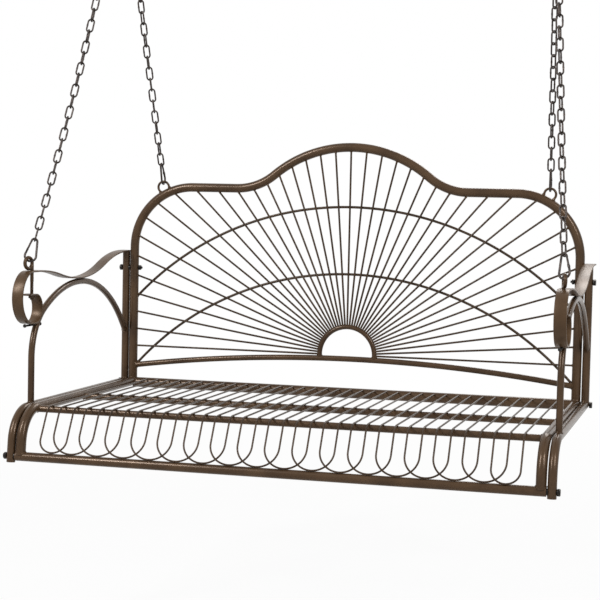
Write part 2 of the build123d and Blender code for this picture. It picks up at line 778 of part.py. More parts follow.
def held_point(centre, normal, radius, toward):
    """The point of a ring's centre line from which something hangs toward another point."""
    way = toward - centre
    way = way - normal * way.dot(normal)
    return centre + way.normalized() * radius


top_ring_centre = Vector(top_ring_half_span, -hinge_depth, top_ring_height)
front_eye = eye_plane.from_local_coords((-eye_ring_radius, 0, 0))
back_eye_centre = Vector(back_eye_x, 0, back_eye_z)
chain_start = -top_ring_wire_radius - chain_wire_radius - touch_gap
link_overlap = 2 * chain_wire_radius + touch_gap
hook_angle = math.radians(front_hook_turn)
front_hook_way = Vector(math.cos(hook_angle), -math.sin(hook_angle), 0)
pivots = {}
front_hold = held_point(front_eye, eye_plane.z_dir, eye_ring_radius, top_ring_centre)
back_hold = held_point(back_eye_centre, front_view.z_dir, back_eye_radius, top_ring_centre)
for name, hold, eye_wire, hook_gap, sag, hook_way, last_turn in (
    ("front", front_hold, eye_bolt_radius, front_hook_gap, front_chain_sag, front_hook_way, 90 + front_hook_turn),
    ("back", back_hold, back_eye_wire_radius, touch_gap, back_chain_sag, Vector(0, 1, 0), 0),
):
    top_hold = held_point(top_ring_centre, Vector(1, 0, 0), top_ring_radius, hold)
    curve, full_length = hang_curve(top_hold, hold, sag)
    hook_low = full_length + eye_wire + snap_wire_radius + hook_gap
    hook_top = hook_low - snap_length
    low_point = curve(hook_low)
    along = (curve(hook_top) - low_point).normalized()
    across = (hook_way - along * hook_way.dot(along)).normalized()
    hook_plane = Plane(origin=low_point + along * snap_low_radius, x_dir=across, z_dir=across.cross(along))
    body, gate, pivot = snap_hook(hook_plane)
    pieces[name + "_snap_hooks"] = Compound(both_sides(body))
    pieces[name + "_gate_right"], pieces[name + "_gate_left"] = both_sides(gate)
    pivots[name] = (pivot, hook_plane.z_dir)

    chain_end = hook_top + snap_wire_radius + chain_wire_radius + touch_gap
    link_count = 2 * round((chain_end - chain_start - link_overlap) / (2 * chain_pitch))
    pitch = (chain_end - chain_start - link_overlap) / link_count
    turn_left = (last_turn - 90 * (link_count - 1) + 90) % 180 - 90
    link_turn = 90 + turn_left / (link_count - 1)
    links = []
    for index in range(link_count):
        start = chain_start + index * pitch
        middle = start + (pitch + link_overlap) / 2
        along = (curve(middle + pitch / 2) - curve(middle - pitch / 2)).normalized()
        level = (Vector(1, 0, 0) - along * along.X).normalized()
        beside = along.cross(level)
        angle = math.radians(link_turn * index)
        across = level * math.cos(angle) + beside * math.sin(angle)
        links.append(chain_link(curve(middle), along, across, pitch + link_overlap))
    right_chain = Compound(links)
    pieces[name + "_chain_right"] = right_chain
    pieces[name + "_chain_left"] = mirror(right_chain, about=Plane.YZ)

ring_view = side_plane(top_ring_half_span)
ring_centre = (-hinge_depth, top_ring_height)
top_ring = ring(ring_view, ring_centre, top_ring_radius, tube_sides, top_ring_wire_radius, thin_sides)
pieces["top_rings"] = Compound(both_sides(top_ring))

# Ceiling hooks: a flange, a screw above it and an open bowl below
hinge_height = top_ring_height + top_ring_radius - top_ring_wire_radius - hook_wire_radius - touch_gap
neck_angle = math.radians(hook_neck_turn)
bowl_shift = hook_bowl_radius * math.cos(neck_angle) - hook_neck_radius * (1 - math.cos(neck_angle))
neck_slant = bowl_shift / math.sin(neck_angle)
hook_steps = [
    (hook_neck,),
    (hook_neck_radius, -hook_neck_turn),
    (neck_slant,),
    (hook_bowl_radius, hook_bowl_turn),
]
neck_drop = (hook_neck_radius + hook_bowl_radius) * math.sin(neck_angle) + neck_slant * math.cos(neck_angle)
flange_low = hinge_height + hook_bowl_radius + neck_drop + hook_neck
ceiling_height = flange_low + hook_flange_thickness
hook_view = front_plane(-hinge_depth)
hook_start = (top_ring_half_span, flange_low)
ceiling_hook = tube(hook_view, hook_start, -90, hook_steps, hook_wire_radius, thin_sides)
flange_start = (top_ring_half_span, -hinge_depth, flange_low)
thread_start = (top_ring_half_span, -hinge_depth, ceiling_height)
thread_stop = (top_ring_half_span, -hinge_depth, ceiling_height + hook_thread_length)
ceiling_hook = ceiling_hook + bar(flange_start, thread_start, hook_flange_radius, tube_sides)
ceiling_hook = ceiling_hook + bar(thread_start, thread_stop, hook_wire_radius)
pieces["ceiling_hook_right"], pieces["ceiling_hook_left"] = both_sides(ceiling_hook)

os.makedirs("parts", exist_ok=True)
move = Pos(0, hinge_depth, -ceiling_height)
for name, shape in pieces.items():
    solids = [solid for item in (shape if isinstance(shape, list) else [shape]) for solid in item.solids()]
    moved = [move * solid for solid in solids]
    export_step(moved[0] if len(moved) == 1 else Compound(moved), "parts/" + name + ".step")
print("hinge height below the ceiling", round(hinge_height - ceiling_height, 3))
for name, (pivot, axis) in pivots.items():
    spot = pivot + Vector(0, hinge_depth, -ceiling_height)
    print(name, "gate pivot", round(spot.X, 3), round(spot.Y, 3), round(spot.Z, 3))
    print(name, "gate axis", round(axis.X, 5), round(axis.Y, 5), round(axis.Z, 5))
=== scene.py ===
import math
import random

import bpy
from mathutils import Matrix, Vector


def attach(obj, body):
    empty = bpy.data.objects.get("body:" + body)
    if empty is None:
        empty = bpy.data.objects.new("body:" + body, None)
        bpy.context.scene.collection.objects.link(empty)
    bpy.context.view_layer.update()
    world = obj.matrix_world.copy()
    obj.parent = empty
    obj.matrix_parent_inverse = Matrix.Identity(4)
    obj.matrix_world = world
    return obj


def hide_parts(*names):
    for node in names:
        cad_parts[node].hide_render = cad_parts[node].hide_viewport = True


# A hanging porch swing of bent steel tube, in metres. Shapes are drawn in the frame of the seat: X to the
# right of somebody looking at its front, Y to the back, Z up, and zero where the side tubes meet the back.

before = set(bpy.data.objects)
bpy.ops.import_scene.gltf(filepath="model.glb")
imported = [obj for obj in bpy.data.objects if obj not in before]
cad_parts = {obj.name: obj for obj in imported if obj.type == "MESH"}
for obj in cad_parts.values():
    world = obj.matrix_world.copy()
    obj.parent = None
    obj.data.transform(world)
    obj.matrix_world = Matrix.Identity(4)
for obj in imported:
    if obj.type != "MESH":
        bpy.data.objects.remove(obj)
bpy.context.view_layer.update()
chance = random.Random(7)

# Gaps
weld_gap = 0.0002
moving_gap = 0.0004
touch_gap = 0.0003

# Smoothness
tube_sides = 28
hook_sides = 20
rod_sides = 16
wire_sides = 14
link_sides = 12
hex_sides = 48
thread_sides = 18
screw_sides = 24
bead_sides = 8
eye_spot_sides = 12
least_bead_cuts = 20
eye_cuts = 48
top_ring_cuts = 60
tube_step = 4.0
outline_step = 2.0
bow_step = 1.5
fine_step = 3.0
wire_step = 6.0
snap_step = 8.0
eye_step = 7.5
link_step = 12.0
longest_span = 0.014
sharp_angle = 38.0
tube_edge = 0.0012
rail_edge = 0.0010
rod_edge = 0.0008
gate_edge = 0.0006

# Seat frame
half_width = 0.560
side_tube_radius = 0.011
rear_overhang = 0.014
straight_depth = 0.582
front_bend_radius = 0.075
front_bend_turn = 84.0
front_drop = 0.031
cope_share = 0.5
lower_rail_radius = 0.010
rail_radius = 0.0075
rear_rail_radius = 0.0125
rear_rail_drop = 0.002
front_rail_advance = 0.003
middle_rail_setback = 0.252

# Seat wires
wire_radius = 0.002
wire_height = 0.007
wire_count = 36
wire_pitch = 0.0296
wire_bend_radius = 0.030
wire_drop_turn = 60.0
wire_rest_turn = 20.0
wire_rest_gap = 0.0006

# Back
back_tube_radius = 0.011
shoulder_height = 0.4955
corner_radius = 0.153
valley_radius = 0.151
dome_radius = 0.305
dome_height = 0.600
lower_back_rail_radius = 0.007
lower_back_rail_height = 0.082
lower_back_rail_rise = 0.041
sun_height = 0.092
sun_radius = 0.069
sun_tube_radius = 0.006
arc_rod_radius = 0.0032
upper_arc_height = 0.4545
upper_arc_radius = 0.761
lower_arc_height = 0.290
lower_arc_radius = 0.743
ray_radius = 0.0024
ray_count = 41
ray_depth_share = 0.5
back_eye_turn = 27.1
back_eye_stand = 0.018
back_eye_radius = 0.014
back_eye_wire_radius = 0.003

# Arms
arm_offset = 0.022
base_tube_radius = 0.0095
base_tube_drop = 0.045
post_radius = 0.0095
arch_tube_radius = 0.0072
arch_foot_depth = 0.563
arch_height = 0.266
arch_front_radius = 0.123
arch_front_turn = 60.0
arch_fore_radius = 0.407
arch_flat = 0.005
arch_rear_radius = 0.372
arch_rear_turn = 46.0
strip_width = 0.026
strip_thickness = 0.0035
strip_edge = 0.0012
strip_rear = 0.0095
strip_rear_flat = 0.0215
strip_height = 0.332
strip_dip_depth = 0.315
strip_crest_run = 0.035
strip_crest_height = 0.298
scroll_depth = 0.575
scroll_radius = 0.057
curl_radius = 0.0315
tab_length = 0.032
eye_bolt_depth = 0.565
eye_bolt_radius = 0.004
eye_ring_radius = 0.012
eye_ring_turn = 14.5
eye_ring_corners = 10
eye_nut_width = 0.013
eye_nut_thickness = 0.0065
eye_thread_length = 0.030
eye_thread_pitch = 0.00125
eye_bend_turn = 352.0

# Bolts
bolt_radius = 0.003
bolt_head_width = 0.013
bolt_head_thickness = 0.007
bolt_nut_width = 0.011
bolt_nut_thickness = 0.0065
spacer_radius = 0.007
spacer_sink_share = 0.3
upper_bolt_drop = 0.042
rail_bolt_depth = 0.012
scroll_bolt_radius = 0.0025
scroll_bolt_reach = 0.060
scroll_head_width = 0.008
scroll_head_thickness = 0.004
scroll_nut_width = 0.008
scroll_nut_thickness = 0.004
cap_thickness = 0.0025
thread_pitch = 0.0008

# Hanging parts
hinge_depth = 0.2392
top_ring_height = 1.245
top_ring_half_span = 0.507
top_ring_radius = 0.019
top_ring_wire_radius = 0.003
chain_wire_radius = 0.002
chain_width = 0.018
chain_pitch = 0.0265
front_chain_sag = 0.014
back_chain_sag = 0.005
snap_wire_radius = 0.0025
snap_low_radius = 0.01225
snap_top_radius = 0.00625
snap_centre_distance = 0.0345
gate_pivot = 0.008
gate_radius = 0.0022
gate_pin_radius = 0.0010
gate_tongue = 0.0018
gate_cheek = 0.0011
plate_edge_share = 0.18
rivet_head_radius = 0.0016
rivet_head_height = 0.0005
nose_length = 0.0035
front_hook_turn = 27.0
front_hook_gap = 0.0009
hook_wire_radius = 0.0045
hook_bowl_radius = 0.015
hook_neck_radius = 0.010
hook_neck_turn = 60.0
hook_bowl_turn = 280.0
hook_neck = 0.012
hook_flange_radius = 0.012
hook_flange_thickness = 0.003
hook_thread_length = 0.040
hook_thread_pitch = 0.0030

# Welds
bead_radius = 0.0016
small_bead_radius = 0.0011
ring_bead_radius = 0.0013
front_bead_radius = 0.0021
least_rise_share = 0.45
bead_sink_share = 0.3
spacing_share = 0.45
thin_share = 0.92
ripple_share = 0.16
ripple_angle = 0.95
uneven_share = 0.05
loop_spot_length = 0.0036
wire_spot_length = 0.0026
ray_spot_length = 0.0022
cross_spot_length = 0.0024
arc_spot_length = 0.006
arc_spot_inset = 0.012
arc_end_room = 0.02
eye_spot_length = 0.0040
eye_spot_radius = 0.0034
eye_spot_offset = 0.0135

# Turned ends, and the weld on a link, as shares of their length and radius
cap_shares = ((0, 1), (0.5, 1), (0.8, 0.94), (1, 0.80))
scroll_head_shares = ((0, 0.96), (0.1, 1), (0.5, 1), (0.8, 0.80), (1, 0.35))
flange_shares = ((0, 0.94), (0.25, 1), (0.75, 1), (1, 0.97))
link_weld_shares = ((0.35, 1), (0.47, 1.18), (0.53, 1.18), (0.65, 1))

# The ceiling is level with the tops of the hooks' flanges
hinge_height = top_ring_height + top_ring_radius - top_ring_wire_radius - hook_wire_radius - touch_gap
neck_angle = math.radians(hook_neck_turn)
bowl_shift = hook_bowl_radius * math.cos(neck_angle) - hook_neck_radius * (1 - math.cos(neck_angle))
neck_slant = bowl_shift / math.sin(neck_angle)
neck_drop = (hook_neck_radius + hook_bowl_radius) * math.sin(neck_angle) + neck_slant * math.cos(neck_angle)
flange_low = hinge_height + hook_bowl_radius + neck_drop + hook_neck
flange_top = flange_low + hook_flange_thickness
seat_shift = Vector((0, hinge_depth, -flange_top))


class Flat:
    """A plane to draw in, with its origin, its two directions and its normal."""

    def __init__(self, origin, right, up):
        self.origin = Vector(origin)
        self.right = Vector(right).normalized()
        self.up = Vector(up).normalized()
        self.normal = self.right.cross(self.up)

    def at(self, x, y, off=0.0):
        return self.origin + self.right * x + self.up * y + self.normal * off


def side_plane(x):
    """The plane at x, seen from the right, with Y across and Z up."""
    return Flat((x, 0, 0), (0, 1, 0), (0, 0, 1))


def front_plane(y):
    """The plane at y, seen from the front, with X across and Z up."""
    return Flat((0, y, 0), (1, 0, 0), (0, 0, 1))


def walk(start, heading, steps):
    """Stations of a flat line of runs (length,) and bends (radius, turn), where left turns are positive."""
    x, y = start
    way = math.radians(heading)
    stations = [(x, y, way)]
    for step in steps:
        if len(step) == 1:
            x += step[0] * math.cos(way)
            y += step[0] * math.sin(way)
        else:
            side = math.copysign(1, step[1])
            x -= side * step[0] * math.sin(way)
            y += side * step[0] * math.cos(way)
            way += math.radians(step[1])
            x += side * step[0] * math.sin(way)
            y -= side * step[0] * math.cos(way)
        stations.append((x, y, way))
    return stations


def smooth_line(plane, start, heading, steps, bend_step=tube_step):
    """Points close together along the bends of a flat line, and the ends of its runs."""
    stations = walk(start, heading, steps)
    points = [plane.at(*start)]
    for (x, y, way), step in zip(stations, steps):
        parts = [step]
        if len(step) == 2:
            radius, turn = step
            length = radius * math.radians(abs(turn))
            cuts = max(math.ceil(abs(turn) / bend_step), math.ceil(length / longest_span))
            parts = [(radius, turn * cut / cuts) for cut in range(1, cuts + 1)]
        for part in parts:
            points.append(plane.at(*walk((x, y), math.degrees(way), [part])[-1][:2]))
    return points


def round_section(radius, side_count):
    """Corners of a round section."""
    angles = [2 * math.pi * side / side_count for side in range(side_count)]
    return [(radius * math.cos(angle), radius * math.sin(angle)) for angle in angles]


class Shape:
    """The points and faces of one piece."""

    def __init__(self):
        self.points = []
        self.faces = []

    def add_rings(self, rings, closed=False):
        """A skin over rings of equally many points, closed into a loop or capped at its ends."""
        first = len(self.points)
        size = len(rings[0])
        for ring in rings:
            self.points += ring
        spans = len(rings) if closed else len(rings) - 1
        for span in range(spans):
            here = first + span * size
            there = first + (span + 1) % len(rings) * size
            for side in range(size):
                after = (side + 1) % size
                self.faces.append((here + side, here + after, there + after, there + side))
        if not closed:
            last = first + spans * size
            self.faces.append(tuple(first + side for side in reversed(range(size))))
            self.faces.append(tuple(last + side for side in range(size)))
        return self

    def mirrored(self):
        """The shape's mirror image across the middle of the swing."""
        other = Shape()
        other.points = [Vector((-point.x, point.y, point.z)) for point in self.points]
        other.faces = [tuple(reversed(face)) for face in self.faces]
        return other

    def join(self, other):
        """Adds another shape to this one."""
        first = len(self.points)
        self.points += other.points
        self.faces += [tuple(first + corner for corner in face) for face in other.faces]
        return self


def both(shape):
    """The shape together with its mirror image."""
    return shape.mirrored().join(shape)


def swept_rings(points, section, across, closed=False, scales=None):
    """Rings of a section carried along a line without twisting."""
    count = len(points)
    rings = []
    right = None
    before_way = None
    for index, point in enumerate(points):
        before = points[index - 1] if closed or index > 0 else point
        after = points[(index + 1) % count] if closed or index < count - 1 else point
        way = (after - before).normalized()
        if right is None:
            right = Vector(across)
        else:
            right = before_way.rotation_difference(way) @ right
        right = (right - way * right.dot(way)).normalized()
        up = way.cross(right)
        scale = 1.0 if scales is None else scales[index]
        rings.append([point + right * (u * scale) + up * (v * scale) for u, v in section])
        before_way = way
    return rings


def rounded(rings, points, radius, edge):
    """The rings of a rod with the edges of its two ends rounded off."""
    steps = 4

    def end(ring, point, inner):
        outward = (point - inner).normalized()
        centre = point - outward * edge
        first = [corner - outward * edge for corner in ring]
        made = [first]
        for step in range(1, steps + 1):
            angle = math.pi / 2 * step / steps
            share = 1 - edge / radius * (1 - math.cos(angle))
            shift = outward * (edge * math.sin(angle))
            made.append([centre + (corner - centre) * share + shift for corner in first])
        return made

    head = end(rings[0], points[0], points[1])[::-1]
    return head + rings[1:-1] + end(rings[-1], points[-1], points[-2])


def add_rod(
    shape, points, radius, side_count=tube_sides, across=(1, 0, 0), closed=False, edge=0.0, scales=None
):
    """A round bar along points, its end edges rounded where an edge is given."""
    points = [Vector(point) for point in points]
    rings = swept_rings(points, round_section(radius, side_count), across, closed, scales)
    if edge > 0:
        rings = rounded(rings, points, radius, edge)
    return shape.add_rings(rings, closed)


def add_tube(
    shape, plane, start, heading, steps, radius, side_count=tube_sides, bend_step=tube_step, edge=0.0
):
    """A round tube bent along a flat line in the plane."""
    points = smooth_line(plane, start, heading, steps, bend_step)
    return add_rod(shape, points, radius, side_count, plane.normal, edge=edge)


def ring_about(centre, way, side_count, reach):
    """A ring of points square to the way, each as far from the centre as reach says for its angle."""
    right = way.orthogonal().normalized()
    up = way.cross(right)
    ring = []
    for side in range(side_count):
        angle = 2 * math.pi * side / side_count
        out = reach(angle)
        ring.append(centre + right * (out * math.cos(angle)) + up * (out * math.sin(angle)))
    return ring


def add_lathe(shape, start, way, profile, side_count=tube_sides, width=0.0):
    """A turned shape of (distance, radius) pairs along the way. A width makes it hexagonal."""
    start = Vector(start)
    way = Vector(way).normalized()

    def reach(angle):
        if width == 0:
            return radius
        flat_angle = (angle + math.pi / 6) % (math.pi / 3) - math.pi / 6
        return min(radius, width / 2 / math.cos(flat_angle))

    rings = []
    for distance, radius in profile:
        rings.append(ring_about(start + way * distance, way, side_count, reach))
    return shape.add_rings(rings)


def add_turned(shape, start, way, length, radius, shares):
    """A turned end of a length and a radius, its profile in shares of both."""
    return add_lathe(shape, start, way, [(length * along, radius * out) for along, out in shares])


def add_hexagon(shape, start, stop, width):
    """A six-sided nut or bolt head with its corners turned off at both ends."""
    start = Vector(start)
    way = Vector(stop) - start
    length = way.length
    full = width / 2 / math.cos(math.pi / 6)
    flat_share = 0.96
    low_share, high_share = 0.98, 0.9
    bevel_share = 0.07
    flat = width / 2 * flat_share
    bevel = width * bevel_share
    profile = [(0, flat * low_share), (0, flat), (bevel, full)]
    profile += [(length - bevel, full), (length, flat), (length, flat * high_share)]
    return add_lathe(shape, start, way, profile, hex_sides, width)


def add_thread(shape, start, stop, radius, pitch, side_count=thread_sides):
    """A screw thread between two points, with its crests at the radius."""
    start = Vector(start)
    way = Vector(stop) - start
    length = way.length
    way.normalize()
    steps_per_turn = 6
    depth = pitch / 2
    count = int(length / pitch * steps_per_turn)
    rings = []
    for step in range(count + 1):
        distance = length * step / count

        def reach(angle):
            share = (distance / pitch - angle / (2 * math.pi)) % 1.0
            return radius - depth * abs(2 * share - 1)

        rings.append(ring_about(start + way * distance, way, side_count, reach))
    return shape.add_rings(rings)


def add_blob(shape, centre, long_way, long_radius, round_radius, side_count=bead_sides):
    """A small uneven lump of weld metal."""
    centre = Vector(centre)
    way = Vector(long_way).normalized()
    steps = 5
    end_share = 0.35
    least_share, most_share = 0.88, 1.12

    def uneven(_):
        return full * chance.uniform(least_share, most_share)

    rings = []
    for step in range(steps + 1):
        angle = math.pi * (step + end_share) / (steps + 2 * end_share)
        along = way * (-long_radius * math.cos(angle))
        full = round_radius * math.sin(angle)
        rings.append(ring_about(centre + along, way, side_count, uneven))
    return shape.add_rings(rings)


def add_weld(shape, point, way, rod_radius, tube_point, tube_way, tube_radius, bead=bead_radius):
    """A rippled bead where a rod that starts inside a tube comes out of it on its way."""
    point = Vector(point)
    way = Vector(way).normalized()
    tube_way = Vector(tube_way).normalized()
    tube_point = Vector(tube_point)
    right = (tube_way - way * tube_way.dot(way)).normalized()
    up = way.cross(right)
    cross_way = way - tube_way * way.dot(tube_way)
    least_rise = tube_radius * least_rise_share
    count = max(least_bead_cuts, int(2 * math.pi * rod_radius / (bead * spacing_share)))
    points = []
    scales = []
    for index in range(count):
        angle = 2 * math.pi * index / count
        corner = point + right * (rod_radius * math.cos(angle)) + up * (rod_radius * math.sin(angle))
        offset = corner - tube_point
        offset = offset - tube_way * offset.dot(tube_way)
        a = cross_way.dot(cross_way)
        b = offset.dot(cross_way)
        c = offset.dot(offset) - tube_radius**2
        root = math.sqrt(max(b * b - a * c, least_rise**2))
        points.append(corner + way * ((root - b) / a))
        ripple = ripple_share * abs(math.sin(index * ripple_angle))
        scales.append(thin_share + ripple + chance.uniform(-uneven_share, uneven_share))
    return add_rod(shape, points, bead, bead_sides, way, closed=True, scales=scales)


# Materials
def new_tree(owner):
    """The emptied node tree of a material or a world."""
    owner.use_nodes = True
    owner.node_tree.nodes.clear()
    return owner.node_tree


def add_node(tree, kind, values=None, links=None, **settings):
    """A shader node with its settings, and with values and links on its inputs."""
    node = tree.nodes.new("ShaderNode" + kind)
    for name, value in settings.items():
        setattr(node, name, value)
    for name, value in (values or {}).items():
        node.inputs[name].default_value = value
    for name, socket in (links or {}).items():
        tree.links.new(socket, node.inputs[name])
    return node


def add_noise(tree, scale, detail, roughness=0.5):
    """The value of a noise texture in object space."""
    place = add_node(tree, "TexCoord").outputs["Object"]
    values = {"Scale": scale, "Detail": detail, "Roughness": roughness}
    return add_node(tree, "TexNoise", values, {"Vector": place}).outputs["Fac"]


def add_ramp(tree, source, shares, colours):
    """The colour of a ramp between two colours over a source value."""
    ramp = add_node(tree, "ValToRGB", links={"Fac": source})
    for element, share, colour in zip(ramp.color_ramp.elements, shares, colours):
        element.position = share
        element.color = (*colour, 1.0)
    return ramp.outputs["Color"]


def add_range(tree, source, low, high):
    """A source value brought between two others."""
    return add_node(tree, "MapRange", {"To Min": low, "To Max": high}, {"Value": source}).outputs["Result"]


def add_bump(tree, height, strength, distance, more_links=None):
    """The normal of a bump from a height."""
    values = {"Strength": strength, "Distance": distance}
    return add_node(tree, "Bump", values, {"Height": height, **(more_links or {})}).outputs["Normal"]


def surface_material(name, make):
    """A material whose principled shader gets the values and the links that make works out in its tree."""
    material = bpy.data.materials.new(name)
    tree = new_tree(material)
    shader = add_node(tree, "BsdfPrincipled", *make(tree))
    add_node(tree, "OutputMaterial", links={"Surface": shader.outputs["BSDF"]})
    return material


def coat_material(name, dark, pale, roughness, metallic=0.20, bump_strength=0.006):
    """A satin powder coat: two close colours in slow clouds, a fine fleck and soft orange-peel bumps."""
    cloud_scale, fleck_scale, gloss_scale, peel_scale, dent_scale = 14.0, 420.0, 60.0, 380.0, 45.0
    cloud_shares = (0.34, 0.66)
    fleck_shares = (0.42, 0.62)
    fleck_colours = ((0.86, 0.86, 0.86), (1.0, 1.0, 1.0))
    fleck_share = 0.4
    gloss_spread = 0.04
    peel_height, dent_height = 0.0002, 0.0008
    values = {"Metallic": metallic, "Specular IOR Level": 0.28, "Specular Tint": (1.0, 0.93, 0.86, 1.0)}

    def make(tree):
        clouds = add_ramp(tree, add_noise(tree, cloud_scale, 3), cloud_shares, (dark, pale))
        fleck = add_ramp(tree, add_noise(tree, fleck_scale, 2), fleck_shares, fleck_colours)
        links = {"A": clouds, "B": fleck}
        mix = add_node(tree, "Mix", {"Factor": fleck_share}, links, data_type="RGBA", blend_type="MULTIPLY")
        shine = add_noise(tree, gloss_scale, 3)
        gloss = add_range(tree, shine, roughness - gloss_spread, roughness + gloss_spread)
        peel = add_bump(tree, add_noise(tree, peel_scale, 1), bump_strength, peel_height)
        dents = add_bump(tree, add_noise(tree, dent_scale, 2), bump_strength, dent_height, {"Normal": peel})
        return values, {"Base Color": mix.outputs["Result"], "Roughness": gloss, "Normal": dents}

    return surface_material(name, make)


def metal_material(name, dark, pale, metallic, roughness):
    """Bronzed wire: dark metal with rubbed paler patches and a fine grain."""
    patch_scale, patch_roughness, grain_scale = 90.0, 0.6, 1500.0
    patch_shares = (0.36, 0.60)
    duller, glossier = 0.10, 0.08
    grain_strength, grain_height = 0.25, 0.0002

    def make(tree):
        patches = add_noise(tree, patch_scale, 5, patch_roughness)
        colours = add_ramp(tree, patches, patch_shares, (dark, pale))
        gloss = add_range(tree, patches, roughness + duller, roughness - glossier)
        grain = add_bump(tree, add_noise(tree, grain_scale, 2), grain_strength, grain_height)
        return {"Metallic": metallic}, {"Base Color": colours, "Roughness": gloss, "Normal": grain}

    return surface_material(name, make)


bronze = coat_material("bronze_powder_coat", (0.050, 0.027, 0.013), (0.081, 0.046, 0.023), 0.25)
# A paler copy of the same bronze coat for the armrest strips: painted light, so their flat faces read
# brighter.
painted_light_strip_coat = coat_material("strip_coat_painted_light", (0.058, 0.032, 0.015), (0.091, 0.052, 0.026), 0.36)
# A darker copy of the same bronze coat for the wire loops, the rays and the arcs: painted shade, so the thin
# wires read darker.
painted_shade_wire_coat = coat_material("wire_coat_painted_shade", (0.033, 0.019, 0.010), (0.053, 0.032, 0.018), 0.32)
black = coat_material("black_oxide", (0.005, 0.005, 0.005), (0.010, 0.009, 0.009), 0.30, 0.30, 0.03)
chain_steel = metal_material("bronzed_chain_steel", (0.015, 0.010, 0.008), (0.048, 0.034, 0.027), 0.50, 0.34)
slots = {"bronze_coat": bronze, "black_hardware": black, "chain_steel": chain_steel}
own_coats = dict.fromkeys(("seat_wire_loops", "sun_rays", "lower_arc_rod", "upper_arc_rod"), painted_shade_wire_coat)
own_coats |= dict.fromkeys(("armrest_strip_right", "armrest_strip_left"), painted_light_strip_coat)


def make_piece(name, shape, slot="bronze_coat", body="swing", ending="_round"):
    """Turns a shape into an object that rides on a body. With the ending, it stands for the CAD node."""
    mesh = bpy.data.meshes.new(name + ending)
    mesh.from_pydata([point + seat_shift for point in shape.points], [], shape.faces)
    mesh.polygons.foreach_set("use_smooth", [True] * len(mesh.polygons))
    mesh.set_sharp_from_angle(angle=math.radians(sharp_angle))
    mesh.materials.append(own_coats.get(name, slots[slot]))
    mesh.update()
    piece = bpy.data.objects.new(name + ending, mesh)
    bpy.context.scene.collection.objects.link(piece)
    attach(piece, body)
    if ending:
        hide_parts(name)


def make_sides(name, shape, slot="bronze_coat", body="swing"):
    """The right piece and its mirror image on the left, each for the CAD node of its side."""
    make_piece(name + "_right", shape, slot, body)
    make_piece(name + "_left", shape.mirrored(), slot, body)


welds = Shape()


def weld_sides(point, way, rod_radius, tube_point, tube_way, tube_radius, bead=bead_radius):
    """A weld given for the right side, on both sides of the seat and the back."""
    for side in (-1, 1):
        flip = Vector((side, 1, 1))
        point_here, way_here, tube_here = [Vector(vector) * flip for vector in (point, way, tube_point)]
        add_weld(welds, point_here, way_here, rod_radius, tube_here, tube_way, tube_radius, bead)


# Side tubes of the seat
side_steps = [
    (rear_overhang + straight_depth,),
    (front_bend_radius, front_bend_turn),
    (front_drop,),
]
side_start = (rear_overhang, 0)
lower_rail_y, lower_rail_z, side_end_way = walk(side_start, 180, side_steps)[-1]
side_tube_steps = side_steps[:2] + [(front_drop - lower_rail_radius * cope_share,)]
side_view = side_plane(half_width)
make_sides("seat_side_tube", add_tube(Shape(), side_view, side_start, 180, side_tube_steps, side_tube_radius))

rail_end = half_width + side_tube_radius
lower_rail_ends = [(x, lower_rail_y, lower_rail_z) for x in (-rail_end, rail_end)]
lower_rail = add_rod(Shape(), lower_rail_ends, lower_rail_radius, across=(0, 0, 1), edge=rail_edge)
make_piece("lower_front_rail", lower_rail)
weld_sides(
    (half_width, lower_rail_y, lower_rail_z),
    (0, -math.cos(side_end_way), -math.sin(side_end_way)),
    side_tube_radius - bead_radius * bead_sink_share,
    (0, lower_rail_y, lower_rail_z),
    (1, 0, 0),
    lower_rail_radius,
    front_bead_radius,
)

# Seat wires
drop_angle = math.radians(wire_drop_turn)
rest_angle = math.radians(wire_rest_turn)
drop_way = Vector((0, -math.cos(drop_angle), -math.sin(drop_angle)))
drop_normal = Vector((0, -math.sin(drop_angle), math.cos(drop_angle)))
rail_axis = Vector((0, lower_rail_y, lower_rail_z))
rest_radius = lower_rail_radius + wire_rest_gap + wire_radius
lean = (2 * wire_radius + moving_gap) / (2 * wire_pitch)
wire_top_rise = wire_height + rear_rail_drop - wire_radius
wire_rear_y = -math.sqrt((rear_rail_radius + weld_gap) ** 2 - wire_top_rise**2)
wire_edge_share = 0.3
loop_spot_place_shares = (0.8, 0.6)
loop_spot_share = 1.1


def wire_x(index):
    return (index - (wire_count - 1) / 2) * wire_pitch


def add_wire_loop(shape, first, last, shift):
    """One bent wire: forward, down in front of the seat, round on the lower rail and back."""
    centre_x = (wire_x(first) + wire_x(last)) / 2
    half_span = (wire_x(last) - wire_x(first)) / 2
    rest = Vector((0, -math.sin(rest_angle), math.cos(rest_angle))) * rest_radius + drop_normal * shift
    along = rest.dot(drop_way)
    slide = -along - math.sqrt(along**2 - rest.dot(rest) + rest_radius**2)
    bottom = rail_axis + rest + drop_way * slide + Vector((centre_x, 0, 0))
    across = (Vector((1, 0, 0)) - drop_normal * lean).normalized()
    loop_radius = half_span * math.sqrt(1 + lean**2)
    loop_centre = bottom - drop_way * loop_radius

    def leg(sign):
        foot = bottom + Vector((sign * half_span, 0, 0)) - drop_normal * (sign * half_span * lean)
        corner = foot + drop_way * ((wire_height - foot.z) / drop_way.z)
        start_y = corner.y + wire_bend_radius * math.tan(drop_angle / 2)
        steps = [(wire_rear_y - start_y,), (wire_bend_radius, wire_drop_turn)]
        return smooth_line(side_plane(corner.x), (wire_rear_y, wire_height), 180, steps, wire_step)

    round_points = []
    cuts = 30
    for cut in range(cuts + 1):
        angle = math.pi * cut / cuts
        beside = across * (-loop_radius * math.cos(angle))
        round_points.append(loop_centre + beside + drop_way * (loop_radius * math.sin(angle)))
    points = leg(-1) + round_points + leg(1)[::-1]
    add_rod(shape, points, wire_radius, wire_sides, edge=wire_radius * wire_edge_share)
    side_share, low_share = loop_spot_place_shares
    for sign in (-1, 1):
        contact = bottom + across * (sign * wire_radius * side_share) - drop_normal * wire_radius * low_share
        add_blob(welds, contact, (1, 0, 0), loop_spot_length, small_bead_radius * loop_spot_share)


